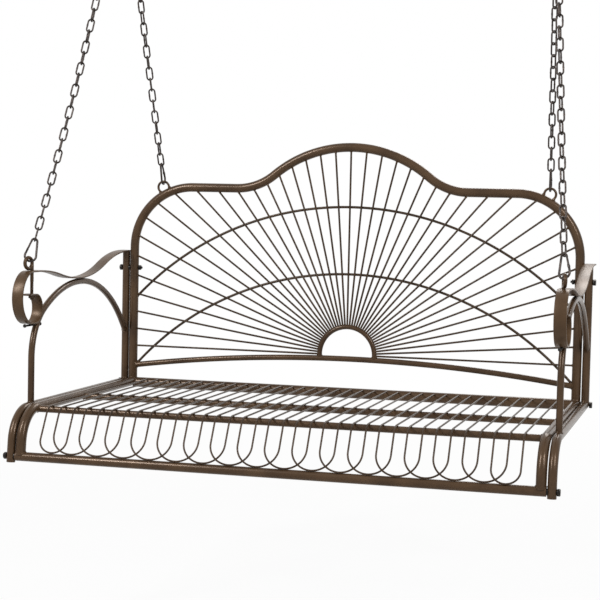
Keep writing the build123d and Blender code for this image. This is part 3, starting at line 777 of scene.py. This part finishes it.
end_shift = wire_pitch * lean / 2
loops = Shape()
add_wire_loop(loops, 0, 2, -end_shift)
for first in range(1, wire_count - 4, 2):
    add_wire_loop(loops, first, first + 3, 0)
add_wire_loop(loops, wire_count - 3, wire_count - 1, end_shift)
make_piece("seat_wire_loops", loops)

# Outer tube of the back
valley_drop = shoulder_height + valley_radius - (dome_height - dome_radius)
valley_turn = math.degrees(math.acos(valley_drop / (valley_radius + dome_radius)))
valley_x = (valley_radius + dome_radius) * math.sin(math.radians(valley_turn))
post_start = side_tube_radius * cope_share
left_half = [
    (shoulder_height - corner_radius - post_start,),
    (corner_radius, -90),
    (half_width - corner_radius - valley_x,),
    (valley_radius, valley_turn),
]
back_steps = left_half + [(dome_radius, -2 * valley_turn)] + left_half[::-1]
front_view = front_plane(0)
outline = smooth_line(front_view, (-half_width, post_start), 90, back_steps, outline_step)
make_piece("back_frame_tube", add_rod(Shape(), outline, back_tube_radius, across=(0, 1, 0)))
back_foot = (half_width, 0, 0)
weld_sides(back_foot, (0, 0, 1), back_tube_radius, back_foot, (0, 1, 0), side_tube_radius)

# Rails between the side tubes, with the wires' weld spots on them
rail_z = wire_height - wire_radius - weld_gap - rail_radius
rail_reach = half_width - side_tube_radius * cope_share
spot_side_share = 0.85
spot_rise_share = 0.5
rear_spot_share = 0.4
for name, y, z, radius in (
    ("rear_seat_rail", 0, -rear_rail_drop, rear_rail_radius),
    ("middle_seat_rail", middle_rail_setback - straight_depth, rail_z, rail_radius),
    ("front_seat_rail", -straight_depth - front_rail_advance, rail_z, rail_radius),
):
    rail_ends = [(-rail_reach, y, z), (rail_reach, y, z)]
    make_piece(name, add_rod(Shape(), rail_ends, radius, across=(0, 0, 1)))
    weld_sides((half_width, y, z), (-1, 0, 0), radius, (half_width, 0, 0), (0, 1, 0), side_tube_radius)
    rise = math.sqrt(radius**2 - (wire_radius * spot_rise_share) ** 2)
    spot_y, spot_z = y, z + rise + small_bead_radius * bead_sink_share
    if name == "rear_seat_rail":
        spot_y = wire_rear_y + wire_radius * rear_spot_share
        spot_z = wire_height - wire_radius * rear_spot_share
    for index in range(wire_count):
        for side in (-1, 1):
            spot = (wire_x(index) + side * wire_radius * spot_side_share, spot_y, spot_z)
            add_blob(welds, spot, (0, 1, 0), wire_spot_length, small_bead_radius)


def bow_line(y, height, bow_radius, half_span=half_width):
    """Points of an arc across the back, highest in the middle."""
    half_turn = math.degrees(math.asin(half_span / bow_radius))
    start = (-half_span, height - bow_radius + math.sqrt(bow_radius**2 - half_span**2))
    return smooth_line(front_plane(y), start, half_turn, [(bow_radius, -2 * half_turn)], bow_step)


# Arched lower rail of the back, with a half ring on it
lower_back_bow = (half_width**2 + lower_back_rail_rise**2) / (2 * lower_back_rail_rise)
lower_back_line = bow_line(0, lower_back_rail_height, lower_back_bow)
make_piece("back_lower_rail", add_rod(Shape(), lower_back_line, lower_back_rail_radius, across=(0, 1, 0)))
rail_foot = (half_width, 0, lower_back_rail_height - lower_back_rail_rise)
rise_way = (-1, 0, half_width / lower_back_bow)
weld_sides(rail_foot, rise_way, lower_back_rail_radius, rail_foot, (0, 0, 1), back_tube_radius)

sun_run = sun_height - lower_back_rail_height
sun_steps = [(sun_run,), (sun_radius, -180), (sun_run,)]
sun_start = (-sun_radius, lower_back_rail_height)
sun_ring = add_tube(Shape(), front_view, sun_start, 90, sun_steps, sun_tube_radius, bend_step=fine_step)
make_piece("sun_half_ring", sun_ring)
sun_foot = (sun_radius, 0, lower_back_rail_height)
rail_middle = (0, 0, lower_back_rail_height)
weld_sides(
    sun_foot, (0, 0, 1), sun_tube_radius, rail_middle, (1, 0, 0), lower_back_rail_radius, ring_bead_radius
)


def bow_height(x, height, bow_radius):
    return height - bow_radius + math.sqrt(bow_radius**2 - x**2)


def bow_meeting(height, bow_radius):
    """How far from the middle an arc comes down to the arched lower rail, or to the post."""

    def above(x):
        return bow_height(x, height, bow_radius) > bow_height(x, lower_back_rail_height, lower_back_bow)

    halvings = 40
    low, high = 0.0, half_width
    if above(high):
        return half_width
    for _ in range(halvings):
        middle = (low + high) / 2
        low, high = (middle, high) if above(middle) else (low, middle)
    return low


# Two thin arcs behind the rays
arc_spot_share = 1.15
arcs = (
    ("lower_arc_rod", lower_arc_height, lower_arc_radius),
    ("upper_arc_rod", upper_arc_height, upper_arc_radius),
)
for name, height, radius in arcs:
    half_span = bow_meeting(height, radius)
    arc_points = bow_line(arc_rod_radius, height, radius, half_span)
    make_piece(name, add_rod(Shape(), arc_points, arc_rod_radius, wire_sides, (0, 1, 0)))
    for point, after in ((arc_points[0], arc_points[1]), (arc_points[-1], arc_points[-2])):
        way = after - point
        if half_span >= half_width:
            post = (math.copysign(half_width, point.x), 0, 0)
            add_weld(welds, point, way, arc_rod_radius, post, (0, 0, 1), back_tube_radius, small_bead_radius)
        else:
            spot = point + way.normalized() * arc_spot_inset
            add_blob(welds, spot, way, arc_spot_length, arc_rod_radius * arc_spot_share)

# Rays from the half ring to the outer tube
ray_y = -ray_radius - weld_gap
ray_depth = back_tube_radius * ray_depth_share
sun_centre = Vector((0, 0, sun_height))
inner_spot_share = 1.2
outer_spot_share = 1.25
near_enough = 0.0001
back_step = 0.0004


def outline_distance(point):
    """The distance from a point to the centre line of the back's outer tube."""
    best = half_width
    for start, stop in zip(outline, outline[1:]):
        span = stop - start
        share = min(max((point - start).dot(span) / span.dot(span), 0.0), 1.0)
        best = min(best, (point - start - span * share).length)
    return best


def ray_way(index):
    angle = math.pi * index / (ray_count - 1)
    return Vector((math.cos(angle), 0, math.sin(angle)))


def ray_reach(way):
    """How far a ray runs from the ring's centre before it is well inside the outer tube."""
    distance = sun_radius
    gap = half_width
    while gap > near_enough:
        gap = outline_distance(sun_centre + way * distance) - ray_depth
        distance += gap
    return distance


rays = Shape()
ray_centre = Vector((0, ray_y, sun_height))
ring_face = sun_radius + math.sqrt(sun_tube_radius**2 - ray_y**2)
for index in range(ray_count):
    way = ray_way(index)
    tube_face = ray_reach(way)
    ray_points = [ray_centre + way * sun_radius, ray_centre + way * tube_face]
    add_rod(rays, ray_points, ray_radius, wire_sides, (0, 1, 0))
    while outline_distance(sun_centre + way * tube_face) < back_tube_radius:
        tube_face -= back_step
    add_blob(welds, ray_centre + way * ring_face, way, ray_spot_length, ray_radius * inner_spot_share)
    add_blob(welds, ray_centre + way * tube_face, way, wire_spot_length, ray_radius * outer_spot_share)
make_piece("sun_rays", rays)

for _, height, radius in arcs:
    widest = bow_meeting(height, radius) - arc_end_room
    for index in range(1, ray_count - 1):
        way = ray_way(index)
        drop = sun_height - (height - radius)
        along = -way.z * drop + math.sqrt((way.z * drop) ** 2 - drop**2 + radius**2)
        if abs(way.x * along) < widest and along < ray_reach(way):
            spot = Vector((way.x * along, 0, sun_height + way.z * along))
            add_blob(welds, spot, (way.z, 0, -way.x), cross_spot_length, small_bead_radius)


def ring_points(plane, centre, radius, cuts):
    """Points of a full circle in the plane."""
    return [plane.at(centre[0] + u, centre[1] + v) for u, v in round_section(radius, cuts)]


# Eyes on the shoulders of the back
eye_angle = math.radians(back_eye_turn)
eye_out = Vector((math.sin(eye_angle), 0, math.cos(eye_angle)))
eye_beside = Vector((math.cos(eye_angle), 0, -math.sin(eye_angle)))
shoulder = Vector((half_width - corner_radius, 0, shoulder_height - corner_radius))
eye_distance = corner_radius + back_eye_stand
back_eye_x = half_width - corner_radius + eye_distance * math.sin(eye_angle)
back_eye_z = shoulder_height - corner_radius + eye_distance * math.cos(eye_angle)
back_eye_points = ring_points(front_view, (back_eye_x, back_eye_z), back_eye_radius, eye_cuts)
back_eye = add_rod(Shape(), back_eye_points, back_eye_wire_radius, link_sides, (0, 1, 0), closed=True)
make_piece("back_eyes", both(back_eye))
eye_welds = Shape()
for side in (-1, 1):
    spot = shoulder + eye_out * (corner_radius + back_tube_radius) + eye_beside * (side * eye_spot_offset)
    add_blob(eye_welds, spot, eye_beside, eye_spot_length, eye_spot_radius, eye_spot_sides)
welds.join(both(eye_welds))

# Arms: base tube, post and arch
arm_x = half_width + arm_offset
arm_view = side_plane(arm_x)
base_steps = side_steps[:2] + [(base_tube_drop,)]
make_sides(
    "arm_base_tube",
    add_tube(Shape(), arm_view, side_start, 180, base_steps, base_tube_radius, edge=tube_edge),
)

arm_foot = base_tube_radius * cope_share
post_top = strip_height - strip_thickness / 2 - weld_gap
post_ends = [(arm_x, 0, arm_foot), (arm_x, 0, post_top)]
make_sides("arm_post", add_rod(Shape(), post_ends, post_radius, across=(0, 1, 0)))

arch_fore_turn = 90 - arch_front_turn
arch_fore_drop = arch_fore_radius * (1 - math.cos(math.radians(arch_fore_turn)))
arch_front_rise = arch_front_radius * math.sin(math.radians(arch_front_turn))
arch_leg_top = arch_height - arch_fore_drop - arch_front_rise
arch_start = (-arch_foot_depth, arm_foot)
arch_steps = [
    (arch_leg_top - arm_foot,),
    (arch_front_radius, -arch_front_turn),
    (arch_fore_radius, -arch_fore_turn),
    (arch_flat,),
    (arch_rear_radius, -arch_rear_turn),
]
arch_tail_y = walk(arch_start, 90, arch_steps)[-1][0]
arch_steps.append((-arch_tail_y / math.cos(math.radians(arch_rear_turn)),))
make_sides(
    "arm_arch_tube",
    add_tube(Shape(), arm_view, arch_start, 90, arch_steps, arch_tube_radius, bend_step=fine_step),
)

arm_welds = Shape()
base_point = (arm_x, 0, 0)
arch_foot_point = (arm_x, -arch_foot_depth, 0)
arch_end_y, arch_end_z, arch_end_way = walk(arch_start, 90, arch_steps)[-1]
arch_end = (arm_x, arch_end_y, arch_end_z)
arch_back_way = (0, -math.cos(arch_end_way), -math.sin(arch_end_way))
add_weld(arm_welds, base_point, (0, 0, 1), post_radius, base_point, (0, 1, 0), base_tube_radius)
add_weld(arm_welds, arch_foot_point, (0, 0, 1), arch_tube_radius, base_point, (0, 1, 0), base_tube_radius)
add_weld(arm_welds, arch_end, arch_back_way, arch_tube_radius, arch_end, (0, 0, 1), post_radius)

# Armrest strip: down in an S from the post, up in an S to a crest, then a scroll that ends on the arch
strip_dip = strip_height - arch_height - arch_tube_radius - weld_gap - strip_thickness / 2
strip_crest_depth = scroll_depth - strip_crest_run
strip_crest_rise = strip_crest_height - strip_height + strip_dip
curl_centre_z = strip_crest_height - 2 * scroll_radius + curl_radius
arch_centre_y = -arch_foot_depth + arch_front_radius
curl_clearance = arch_front_radius + arch_tube_radius + strip_thickness / 2 + weld_gap + curl_radius
curl_centre_y = arch_centre_y - math.sqrt(curl_clearance**2 - (curl_centre_z - arch_leg_top) ** 2)


def s_curve(length, drop):
    """Two equal bends that carry a level line up or down by the drop over the length."""
    radius = (length**2 + drop**2) / (4 * abs(drop))
    turn = math.copysign(2 * math.degrees(math.atan(abs(drop) / length)), drop)
    return [(radius, turn), (radius, -turn)]


strip_steps = [
    (strip_rear_flat,),
    *s_curve(strip_dip_depth + strip_rear - strip_rear_flat, strip_dip),
    *s_curve(strip_crest_depth - strip_dip_depth, -strip_crest_rise),
    (strip_crest_run,),
    (scroll_radius, 180),
    (scroll_depth + curl_centre_y,),
    (curl_radius, 180),
    (tab_length,),
]
half_strip = strip_width / 2
half_strip_thickness = strip_thickness / 2


def rounded_section(half_across, half_thick, edge, cuts=3):
    """Corners of a flat bar's section with rounded edges."""
    corners = []
    for sign_u, sign_v, first in ((1, 1, 0), (-1, 1, 90), (-1, -1, 180), (1, -1, 270)):
        for cut in range(cuts + 1):
            angle = math.radians(first + 90 * cut / cuts)
            u = sign_u * (half_across - edge) + edge * math.cos(angle)
            v = sign_v * (half_thick - edge) + edge * math.sin(angle)
            corners.append((u, v))
    return corners


strip_x = half_width + back_tube_radius + weld_gap + half_strip
strip_line = smooth_line(side_plane(strip_x), (strip_rear, strip_height), 180, strip_steps, fine_step)
strip_section = rounded_section(half_strip, half_strip_thickness, strip_edge)
make_sides("armrest_strip", Shape().add_rings(swept_rings(strip_line, strip_section, (1, 0, 0))))

# Eye bolt through the crest and the tab, with its nut under the tab. The ring starts beside the shank's end.
eye_ring_reach = eye_ring_radius / math.cos(math.pi / eye_ring_corners)
eye_centre_z = strip_crest_height + half_strip_thickness + weld_gap + eye_ring_reach + eye_bolt_radius
eye_nut_top = curl_centre_z + curl_radius - half_strip_thickness - weld_gap
eye_nut_low = eye_nut_top - eye_nut_thickness
eye_way = math.radians(eye_ring_turn)
eye_plane = Flat(
    (arm_x, -eye_bolt_depth, eye_centre_z),
    (-math.sin(eye_way), math.cos(eye_way), 0),
    (0, 0, 1),
)
eye_bolt = Shape()
eye_middle_z = eye_nut_top + eye_thread_length
eye_steps = [(eye_centre_z - eye_middle_z,), (eye_ring_radius, eye_bend_turn)]
eye_start = (0, eye_middle_z - eye_centre_z)
add_tube(eye_bolt, eye_plane, eye_start, 90, eye_steps, eye_bolt_radius, rod_sides, eye_step, edge=rod_edge)


def on_eye_bolt(z):
    return (arm_x, -eye_bolt_depth, z)


eye_low = on_eye_bolt(eye_nut_low - bolt_radius)
add_thread(eye_bolt, on_eye_bolt(eye_middle_z), eye_low, eye_bolt_radius, eye_thread_pitch)
make_piece("eye_bolts", both(eye_bolt))
eye_nut = add_hexagon(Shape(), on_eye_bolt(eye_nut_top), on_eye_bolt(eye_nut_low), eye_nut_width)
make_piece("eye_bolt_nuts", both(eye_nut))

# Bolts across the arm tubes
outer_face = arm_x + base_tube_radius + weld_gap
inner_back_face = half_width - back_tube_radius - weld_gap
frame_nut_end = inner_back_face - bolt_nut_thickness
upper_bolt_height = strip_height - upper_bolt_drop
spacer_sink = spacer_radius * spacer_sink_share
frame_bolts = Shape()
frame_spacers = Shape()
for y, z, tip, seat_radius, arm_radius in (
    (lower_rail_y, lower_rail_z, rail_end - rail_bolt_depth + touch_gap, side_tube_radius, base_tube_radius),
    (0, 0, half_width + side_tube_radius * cope_share, side_tube_radius, base_tube_radius),
    (0, upper_bolt_height, frame_nut_end - weld_gap - bolt_radius, back_tube_radius, post_radius),
):
    add_hexagon(frame_bolts, (outer_face, y, z), (outer_face + bolt_head_thickness, y, z), bolt_head_width)
    add_thread(frame_bolts, (outer_face, y, z), (tip, y, z), bolt_radius, thread_pitch)
    spacer_start = half_width + seat_radius - spacer_sink
    spacer_end = arm_x - arm_radius + spacer_sink
    add_rod(frame_spacers, [(spacer_start, y, z), (spacer_end, y, z)], spacer_radius, across=(0, 0, 1))
make_piece("frame_bolts", both(frame_bolts), "black_hardware")
make_piece("frame_spacers", both(frame_spacers), "black_hardware")
frame_nut_ends = [(x, 0, upper_bolt_height) for x in (inner_back_face, frame_nut_end)]
make_piece("frame_bolt_nuts", both(add_hexagon(Shape(), *frame_nut_ends, bolt_nut_width)), "black_hardware")

# Scroll bolt through the front of the arch, just under the scroll
scroll_bolt_z = curl_centre_z - curl_radius - half_strip_thickness - weld_gap - scroll_bolt_radius
arch_rise = scroll_bolt_z - arch_leg_top
arch_y = arch_centre_y - math.sqrt(arch_front_radius**2 - arch_rise**2)
arch_slope = math.sqrt(1 - (arch_rise / arch_front_radius) ** 2)
scroll_nut_y = arch_y + (arch_tube_radius + scroll_nut_width / 2) / arch_slope
scroll_nut_end = scroll_nut_y + scroll_nut_thickness


def on_scroll_bolt(y):
    return (arm_x, y, scroll_bolt_z)


scroll_bolt = Shape()
scroll_start = on_scroll_bolt(arch_y - scroll_bolt_reach)
scroll_stop = on_scroll_bolt(scroll_nut_end + scroll_bolt_radius)
add_thread(scroll_bolt, scroll_start, scroll_stop, scroll_bolt_radius, thread_pitch)
head_radius = scroll_head_width / 2
add_turned(scroll_bolt, scroll_start, (0, -1, 0), scroll_head_thickness, head_radius, scroll_head_shares)
make_piece("scroll_bolts", both(scroll_bolt), "black_hardware")
scroll_nut_ends = [on_scroll_bolt(y) for y in (scroll_nut_y, scroll_nut_end)]
scroll_nut = add_hexagon(Shape(), *scroll_nut_ends, scroll_nut_width)
make_piece("scroll_bolt_nuts", both(scroll_nut), "black_hardware")

# Plugs in the rear ends of the side tubes and the base tubes
caps = Shape()
for x, radius in ((half_width, side_tube_radius), (arm_x, base_tube_radius)):
    add_turned(caps, (x, rear_overhang, 0), (0, 1, 0), cap_thickness, radius, cap_shares)
make_piece("tube_end_caps", both(caps), "black_hardware")


# Hanging parts
def hang_curve(top, low, sag):
    """A shallow arc that sags between two points: its point at a length along it, and its full length."""
    chord = low - top
    down = Vector((0, 0, -1))
    side = (down - chord * (down.dot(chord) / chord.dot(chord))).normalized()
    half = chord.length / 2
    radius = (half**2 + sag**2) / (2 * sag)
    half_angle = math.asin(half / radius)
    middle = top + chord / 2 - side * (radius - sag)
    along = chord.normalized()

    def point(length):
        angle = length / radius - half_angle
        return middle + along * (radius * math.sin(angle)) + side * (radius * math.cos(angle))

    return point, 2 * half_angle * radius


def add_chain_link(shape, centre, along, across, length):
    """One chain link about its centre, with a thicker weld on one side."""
    end_radius = chain_width / 2 - chain_wire_radius
    half_run = length / 2 - end_radius
    plane = Flat(centre, across, along)
    points = []
    scales = []
    arc_cuts = int(180 / link_step)
    for end, first in ((1, 0), (-1, 180)):
        for cut in range(arc_cuts + 1):
            angle = math.radians(first + 180 * cut / arc_cuts)
            u = end_radius * math.cos(angle)
            points.append(plane.at(u, end * half_run + end_radius * math.sin(angle)))
            scales.append(1.0)
        if end == 1:
            for share, scale in link_weld_shares:
                points.append(plane.at(-end_radius, half_run - 2 * half_run * share))
                scales.append(scale)
    add_rod(shape, points, chain_wire_radius, link_sides, plane.normal, closed=True, scales=scales)


snap_taper = math.asin((snap_low_radius - snap_top_radius) / snap_centre_distance)
snap_side = snap_centre_distance * math.cos(snap_taper)
snap_length = snap_low_radius + snap_centre_distance + snap_top_radius


def on_gate_line(distance, beside=0.0):
    """A point on the straight side that the gate closes, measured from the wide end."""
    reach = snap_low_radius + beside
    x = reach * math.cos(snap_taper) - math.sin(snap_taper) * distance
    y = reach * math.sin(snap_taper) + math.cos(snap_taper) * distance
    return x, y


def add_plate(shape, plane, start, end, low, high, breadth):
    """A flat bar along the gate's line with round ends and softened edges."""
    outline_points = []
    cuts = 10
    for centre, first in ((end, 0), (start, 180)):
        for cut in range(cuts + 1):
            angle = math.radians(first + 180 * cut / cuts)
            outline_points.append((centre + breadth * math.sin(angle), breadth * math.cos(angle)))
    edge = (high - low) * plate_edge_share
    inner_share = 1 - edge / breadth
    middle = (start + end) / 2
    rings = []
    for off, share in ((low, inner_share), (low + edge, 1.0), (high - edge, 1.0), (high, inner_share)):
        ring = []
        for distance, beside in outline_points:
            x, y = on_gate_line(middle + (distance - middle) * share, beside * share)
            ring.append(plane.at(x, y, off))
        rings.append(ring)
    shape.add_rings(rings)


def snap_hook(plane):
    """The bent body of a snap hook and its gate, drawn in the plane with the narrow end up."""
    taper = math.degrees(snap_taper)
    body_end = gate_pivot - gate_radius - moving_gap
    steps = [
        (body_end,),
        (snap_low_radius, -(180 + 2 * taper)),
        (snap_side,),
        (snap_top_radius, -(180 - 2 * taper)),
        (nose_length,),
    ]
    points = smooth_line(plane, on_gate_line(body_end), taper - 90, steps, snap_step)
    body = add_rod(Shape(), points, snap_wire_radius, rod_sides, plane.normal, edge=rod_edge)
    half_tongue = gate_tongue / 2
    add_plate(body, plane, body_end - gate_radius, gate_pivot, -half_tongue, half_tongue, gate_radius)
    rod_start = gate_pivot + gate_radius + moving_gap
    rod_stop = snap_side - nose_length - moving_gap
    rod_points = [plane.at(*on_gate_line(distance)) for distance in (rod_start, rod_stop)]
    gate = add_rod(Shape(), rod_points, gate_radius, rod_sides, plane.normal, edge=gate_edge)
    cheek_start = half_tongue + moving_gap
    cheek_stop = cheek_start + gate_cheek
    for low, high in ((cheek_start, cheek_stop), (-cheek_stop, -cheek_start)):
        add_plate(gate, plane, gate_pivot, rod_start + gate_radius, low, high, gate_radius)
    pin_stop = cheek_stop + rivet_head_height
    head_foot = cheek_stop - rivet_head_height
    crown_share = 0.6
    half_pin = [
        (head_foot, gate_pin_radius),
        (head_foot, rivet_head_radius),
        (pin_stop - rivet_head_height * crown_share, rivet_head_radius),
        (pin_stop, rivet_head_radius * crown_share),
    ]
    pin_profile = [(-distance, radius) for distance, radius in half_pin[::-1]] + half_pin
    add_lathe(gate, plane.at(*on_gate_line(gate_pivot)), plane.normal, pin_profile, rod_sides)
    return body, gate


def held_point(centre, normal, radius, toward):
    """The point of a ring's centre line from which something hangs toward another point."""
    way = toward - centre
    way = way - normal * way.dot(normal)
    return centre + way.normalized() * radius


top_ring_centre = Vector((top_ring_half_span, -hinge_depth, top_ring_height))
back_eye_centre = Vector((back_eye_x, 0, back_eye_z))
front_eye = eye_plane.at(-eye_ring_radius, 0)
hook_angle = math.radians(front_hook_turn)
front_hook_way = Vector((math.cos(hook_angle), -math.sin(hook_angle), 0))
chain_start = -top_ring_wire_radius - chain_wire_radius - touch_gap
link_overlap = 2 * chain_wire_radius + touch_gap
front_hold = held_point(front_eye, eye_plane.normal, eye_ring_radius, top_ring_centre)
back_hold = held_point(back_eye_centre, front_view.normal, back_eye_radius, top_ring_centre)
front_turn = 90 + front_hook_turn
for name, hold, eye_wire, hook_gap, sag, hook_way, last_turn in (
    ("front", front_hold, eye_bolt_radius, front_hook_gap, front_chain_sag, front_hook_way, front_turn),
    ("back", back_hold, back_eye_wire_radius, touch_gap, back_chain_sag, Vector((0, 1, 0)), 0),
):
    top_hold = held_point(top_ring_centre, Vector((1, 0, 0)), top_ring_radius, hold)
    curve, full_length = hang_curve(top_hold, hold, sag)
    hook_low = full_length + eye_wire + snap_wire_radius + hook_gap
    hook_top = hook_low - snap_length
    low_point = curve(hook_low)
    along = (curve(hook_top) - low_point).normalized()
    across = (hook_way - along * hook_way.dot(along)).normalized()
    snap_body, snap_gate = snap_hook(Flat(low_point + along * snap_low_radius, across, along))
    make_piece(name + "_snap_hooks", both(snap_body), "chain_steel")
    for side, shape in (("right", snap_gate), ("left", snap_gate.mirrored())):
        gate_name = name + "_gate_" + side
        make_piece(gate_name, shape, "chain_steel", gate_name + "_body")

    chain_end = hook_top + snap_wire_radius + chain_wire_radius + touch_gap
    link_count = 2 * round((chain_end - chain_start - link_overlap) / (2 * chain_pitch))
    pitch = (chain_end - chain_start - link_overlap) / link_count
    turn_left = (last_turn - 90 * (link_count - 1) + 90) % 180 - 90
    link_turn = 90 + turn_left / (link_count - 1)
    chain = Shape()
    for index in range(link_count):
        middle = chain_start + index * pitch + (pitch + link_overlap) / 2
        along = (curve(middle + pitch / 2) - curve(middle - pitch / 2)).normalized()
        level = (Vector((1, 0, 0)) - along * along.x).normalized()
        beside = along.cross(level)
        angle = math.radians(link_turn * index)
        across = level * math.cos(angle) + beside * math.sin(angle)
        add_chain_link(chain, curve(middle), along, across, pitch + link_overlap)
    make_sides(name + "_chain", chain, "chain_steel")

ring_view = side_plane(top_ring_half_span)
top_ring_points = ring_points(ring_view, (-hinge_depth, top_ring_height), top_ring_radius, top_ring_cuts)
top_ring = add_rod(Shape(), top_ring_points, top_ring_wire_radius, rod_sides, (1, 0, 0), closed=True)
make_piece("top_rings", both(top_ring), "chain_steel")

# Ceiling hooks: a flange, a screw above it and an open bowl below
hook_steps = [
    (hook_neck,),
    (hook_neck_radius, -hook_neck_turn),
    (neck_slant,),
    (hook_bowl_radius, hook_bowl_turn),
]


def on_ceiling_hook(z):
    return (top_ring_half_span, -hinge_depth, z)


hook_start = (top_ring_half_span, flange_low)
hook_line = smooth_line(front_plane(-hinge_depth), hook_start, -90, hook_steps, wire_step)
ceiling_hook = add_rod(Shape(), hook_line, hook_wire_radius, hook_sides, (0, 1, 0), edge=tube_edge)
flange_foot = on_ceiling_hook(flange_low)
add_turned(ceiling_hook, flange_foot, (0, 0, 1), hook_flange_thickness, hook_flange_radius, flange_shares)
thread_ends = [on_ceiling_hook(z) for z in (flange_top, flange_top + hook_thread_length)]
add_thread(ceiling_hook, *thread_ends, hook_wire_radius, hook_thread_pitch, screw_sides)
make_sides("ceiling_hook", ceiling_hook, "chain_steel", "ceiling")

welds.join(both(arm_welds))
make_piece("weld_beads", welds, ending="")

# Floor and light
floor_drop = 0.46
floor_half = 30.0
floor_z = seat_shift.z - floor_drop
floor_corners = [(x * floor_half, y * floor_half, floor_z) for x, y in ((-1, -1), (1, -1), (1, 1), (-1, 1))]
floor_mesh = bpy.data.meshes.new("floor")
floor_mesh.from_pydata(floor_corners, [], [(0, 1, 2, 3)])
floor = bpy.data.objects.new("floor", floor_mesh)
bpy.context.scene.collection.objects.link(floor)
white_colour = (1.0, 1.0, 1.0, 1.0)
floor_colour = (0.86, 0.86, 0.86, 1.0)
glow_range = {"From Min": 1.2, "From Max": 5.0, "To Min": 0.92, "To Max": 1.0}
soft_strength = 0.18


def seen_ray(tree):
    """One where a ray comes from the camera, a gloss or a glass, and else zero."""
    kinds = add_node(tree, "LightPath").outputs
    value = kinds["Is Camera Ray"]
    for kind in ("Is Glossy Ray", "Is Transmission Ray"):
        value = add_node(tree, "Math", links={0: value, 1: kinds[kind]}, operation="MAXIMUM").outputs["Value"]
    return value


def mix_shaders(tree, share, first, second, output_kind):
    """Gives the tree's output the first shader where the share is zero and the second where it is one."""
    mixed = add_node(tree, "MixShader", links={"Fac": share, 1: first.outputs[0], 2: second.outputs[0]})
    add_node(tree, output_kind, links={"Surface": mixed.outputs["Shader"]})


floor_material = bpy.data.materials.new("pale_floor")
tree = new_tree(floor_material)
place = add_node(tree, "TexCoord").outputs["Object"]
distance = add_node(tree, "VectorMath", links={0: place}, operation="LENGTH").outputs["Value"]
white_share = add_node(tree, "MapRange", glow_range, {"Value": distance}, interpolation_type="SMOOTHSTEP")
share_links = {0: seen_ray(tree), 1: white_share.outputs["Result"]}
glow_share = add_node(tree, "Math", links=share_links, operation="MULTIPLY").outputs["Value"]
matt = add_node(tree, "BsdfDiffuse", {"Color": floor_colour})
glow = add_node(tree, "Emission", {"Color": white_colour})
mix_shaders(tree, glow_share, matt, glow, "OutputMaterial")
floor_mesh.materials.append(floor_material)

scene = bpy.context.scene
scene.world = bpy.data.worlds.new("studio")
tree = new_tree(scene.world)
soft_light = add_node(tree, "Background", {"Color": white_colour, "Strength": soft_strength})
white_wall = add_node(tree, "Background", {"Color": white_colour, "Strength": 1.0})
mix_shaders(tree, seen_ray(tree), soft_light, white_wall, "OutputWorld")


def add_lamp(name, place, breadth, height, power):
    """A soft lamp that shines from its place toward the middle of the swing."""
    lamp = bpy.data.lights.new(name, "AREA")
    lamp.shape = "RECTANGLE"
    lamp.size = breadth
    lamp.size_y = height
    lamp.energy = power
    holder = bpy.data.objects.new(name, lamp)
    scene.collection.objects.link(holder)
    holder.location = place
    holder.rotation_mode = "QUATERNION"
    holder.rotation_quaternion = (swing_middle - Vector(place)).to_track_quat("-Z", "Y")


swing_middle = Vector((0, 0, -1.05))
add_lamp("left_lamp", (-2.2, -2.7, 1.3), breadth=0.50, height=1.8, power=115.0)
add_lamp("right_lamp", (2.9, -2.3, 1.2), breadth=0.50, height=1.8, power=92.0)
add_lamp("rear_lamp", (0.6, 2.8, 1.2), breadth=1.6, height=1.2, power=40.0)

# Camera at the photograph's place and turn
camera_place = Vector((0.9213, -3.8146, 0.4549)) + seat_shift
camera_yaw = math.radians(15.30)
camera_pitch = math.radians(3.36)
camera_roll = math.radians(1.24)
camera_lens = 96.117
sensor_width = 36.0
camera_data = bpy.data.cameras.new("camera")
camera_data.lens = camera_lens
camera_data.sensor_width = sensor_width
camera = bpy.data.objects.new("camera", camera_data)
scene.collection.objects.link(camera)
turn = Matrix.Rotation(camera_yaw, 4, "Z") @ Matrix.Rotation(math.pi / 2 - camera_pitch, 4, "X")
camera.matrix_world = Matrix.Translation(camera_place) @ turn @ Matrix.Rotation(camera_roll, 4, "Z")
scene.camera = camera

scene.view_settings.view_transform = "Standard"
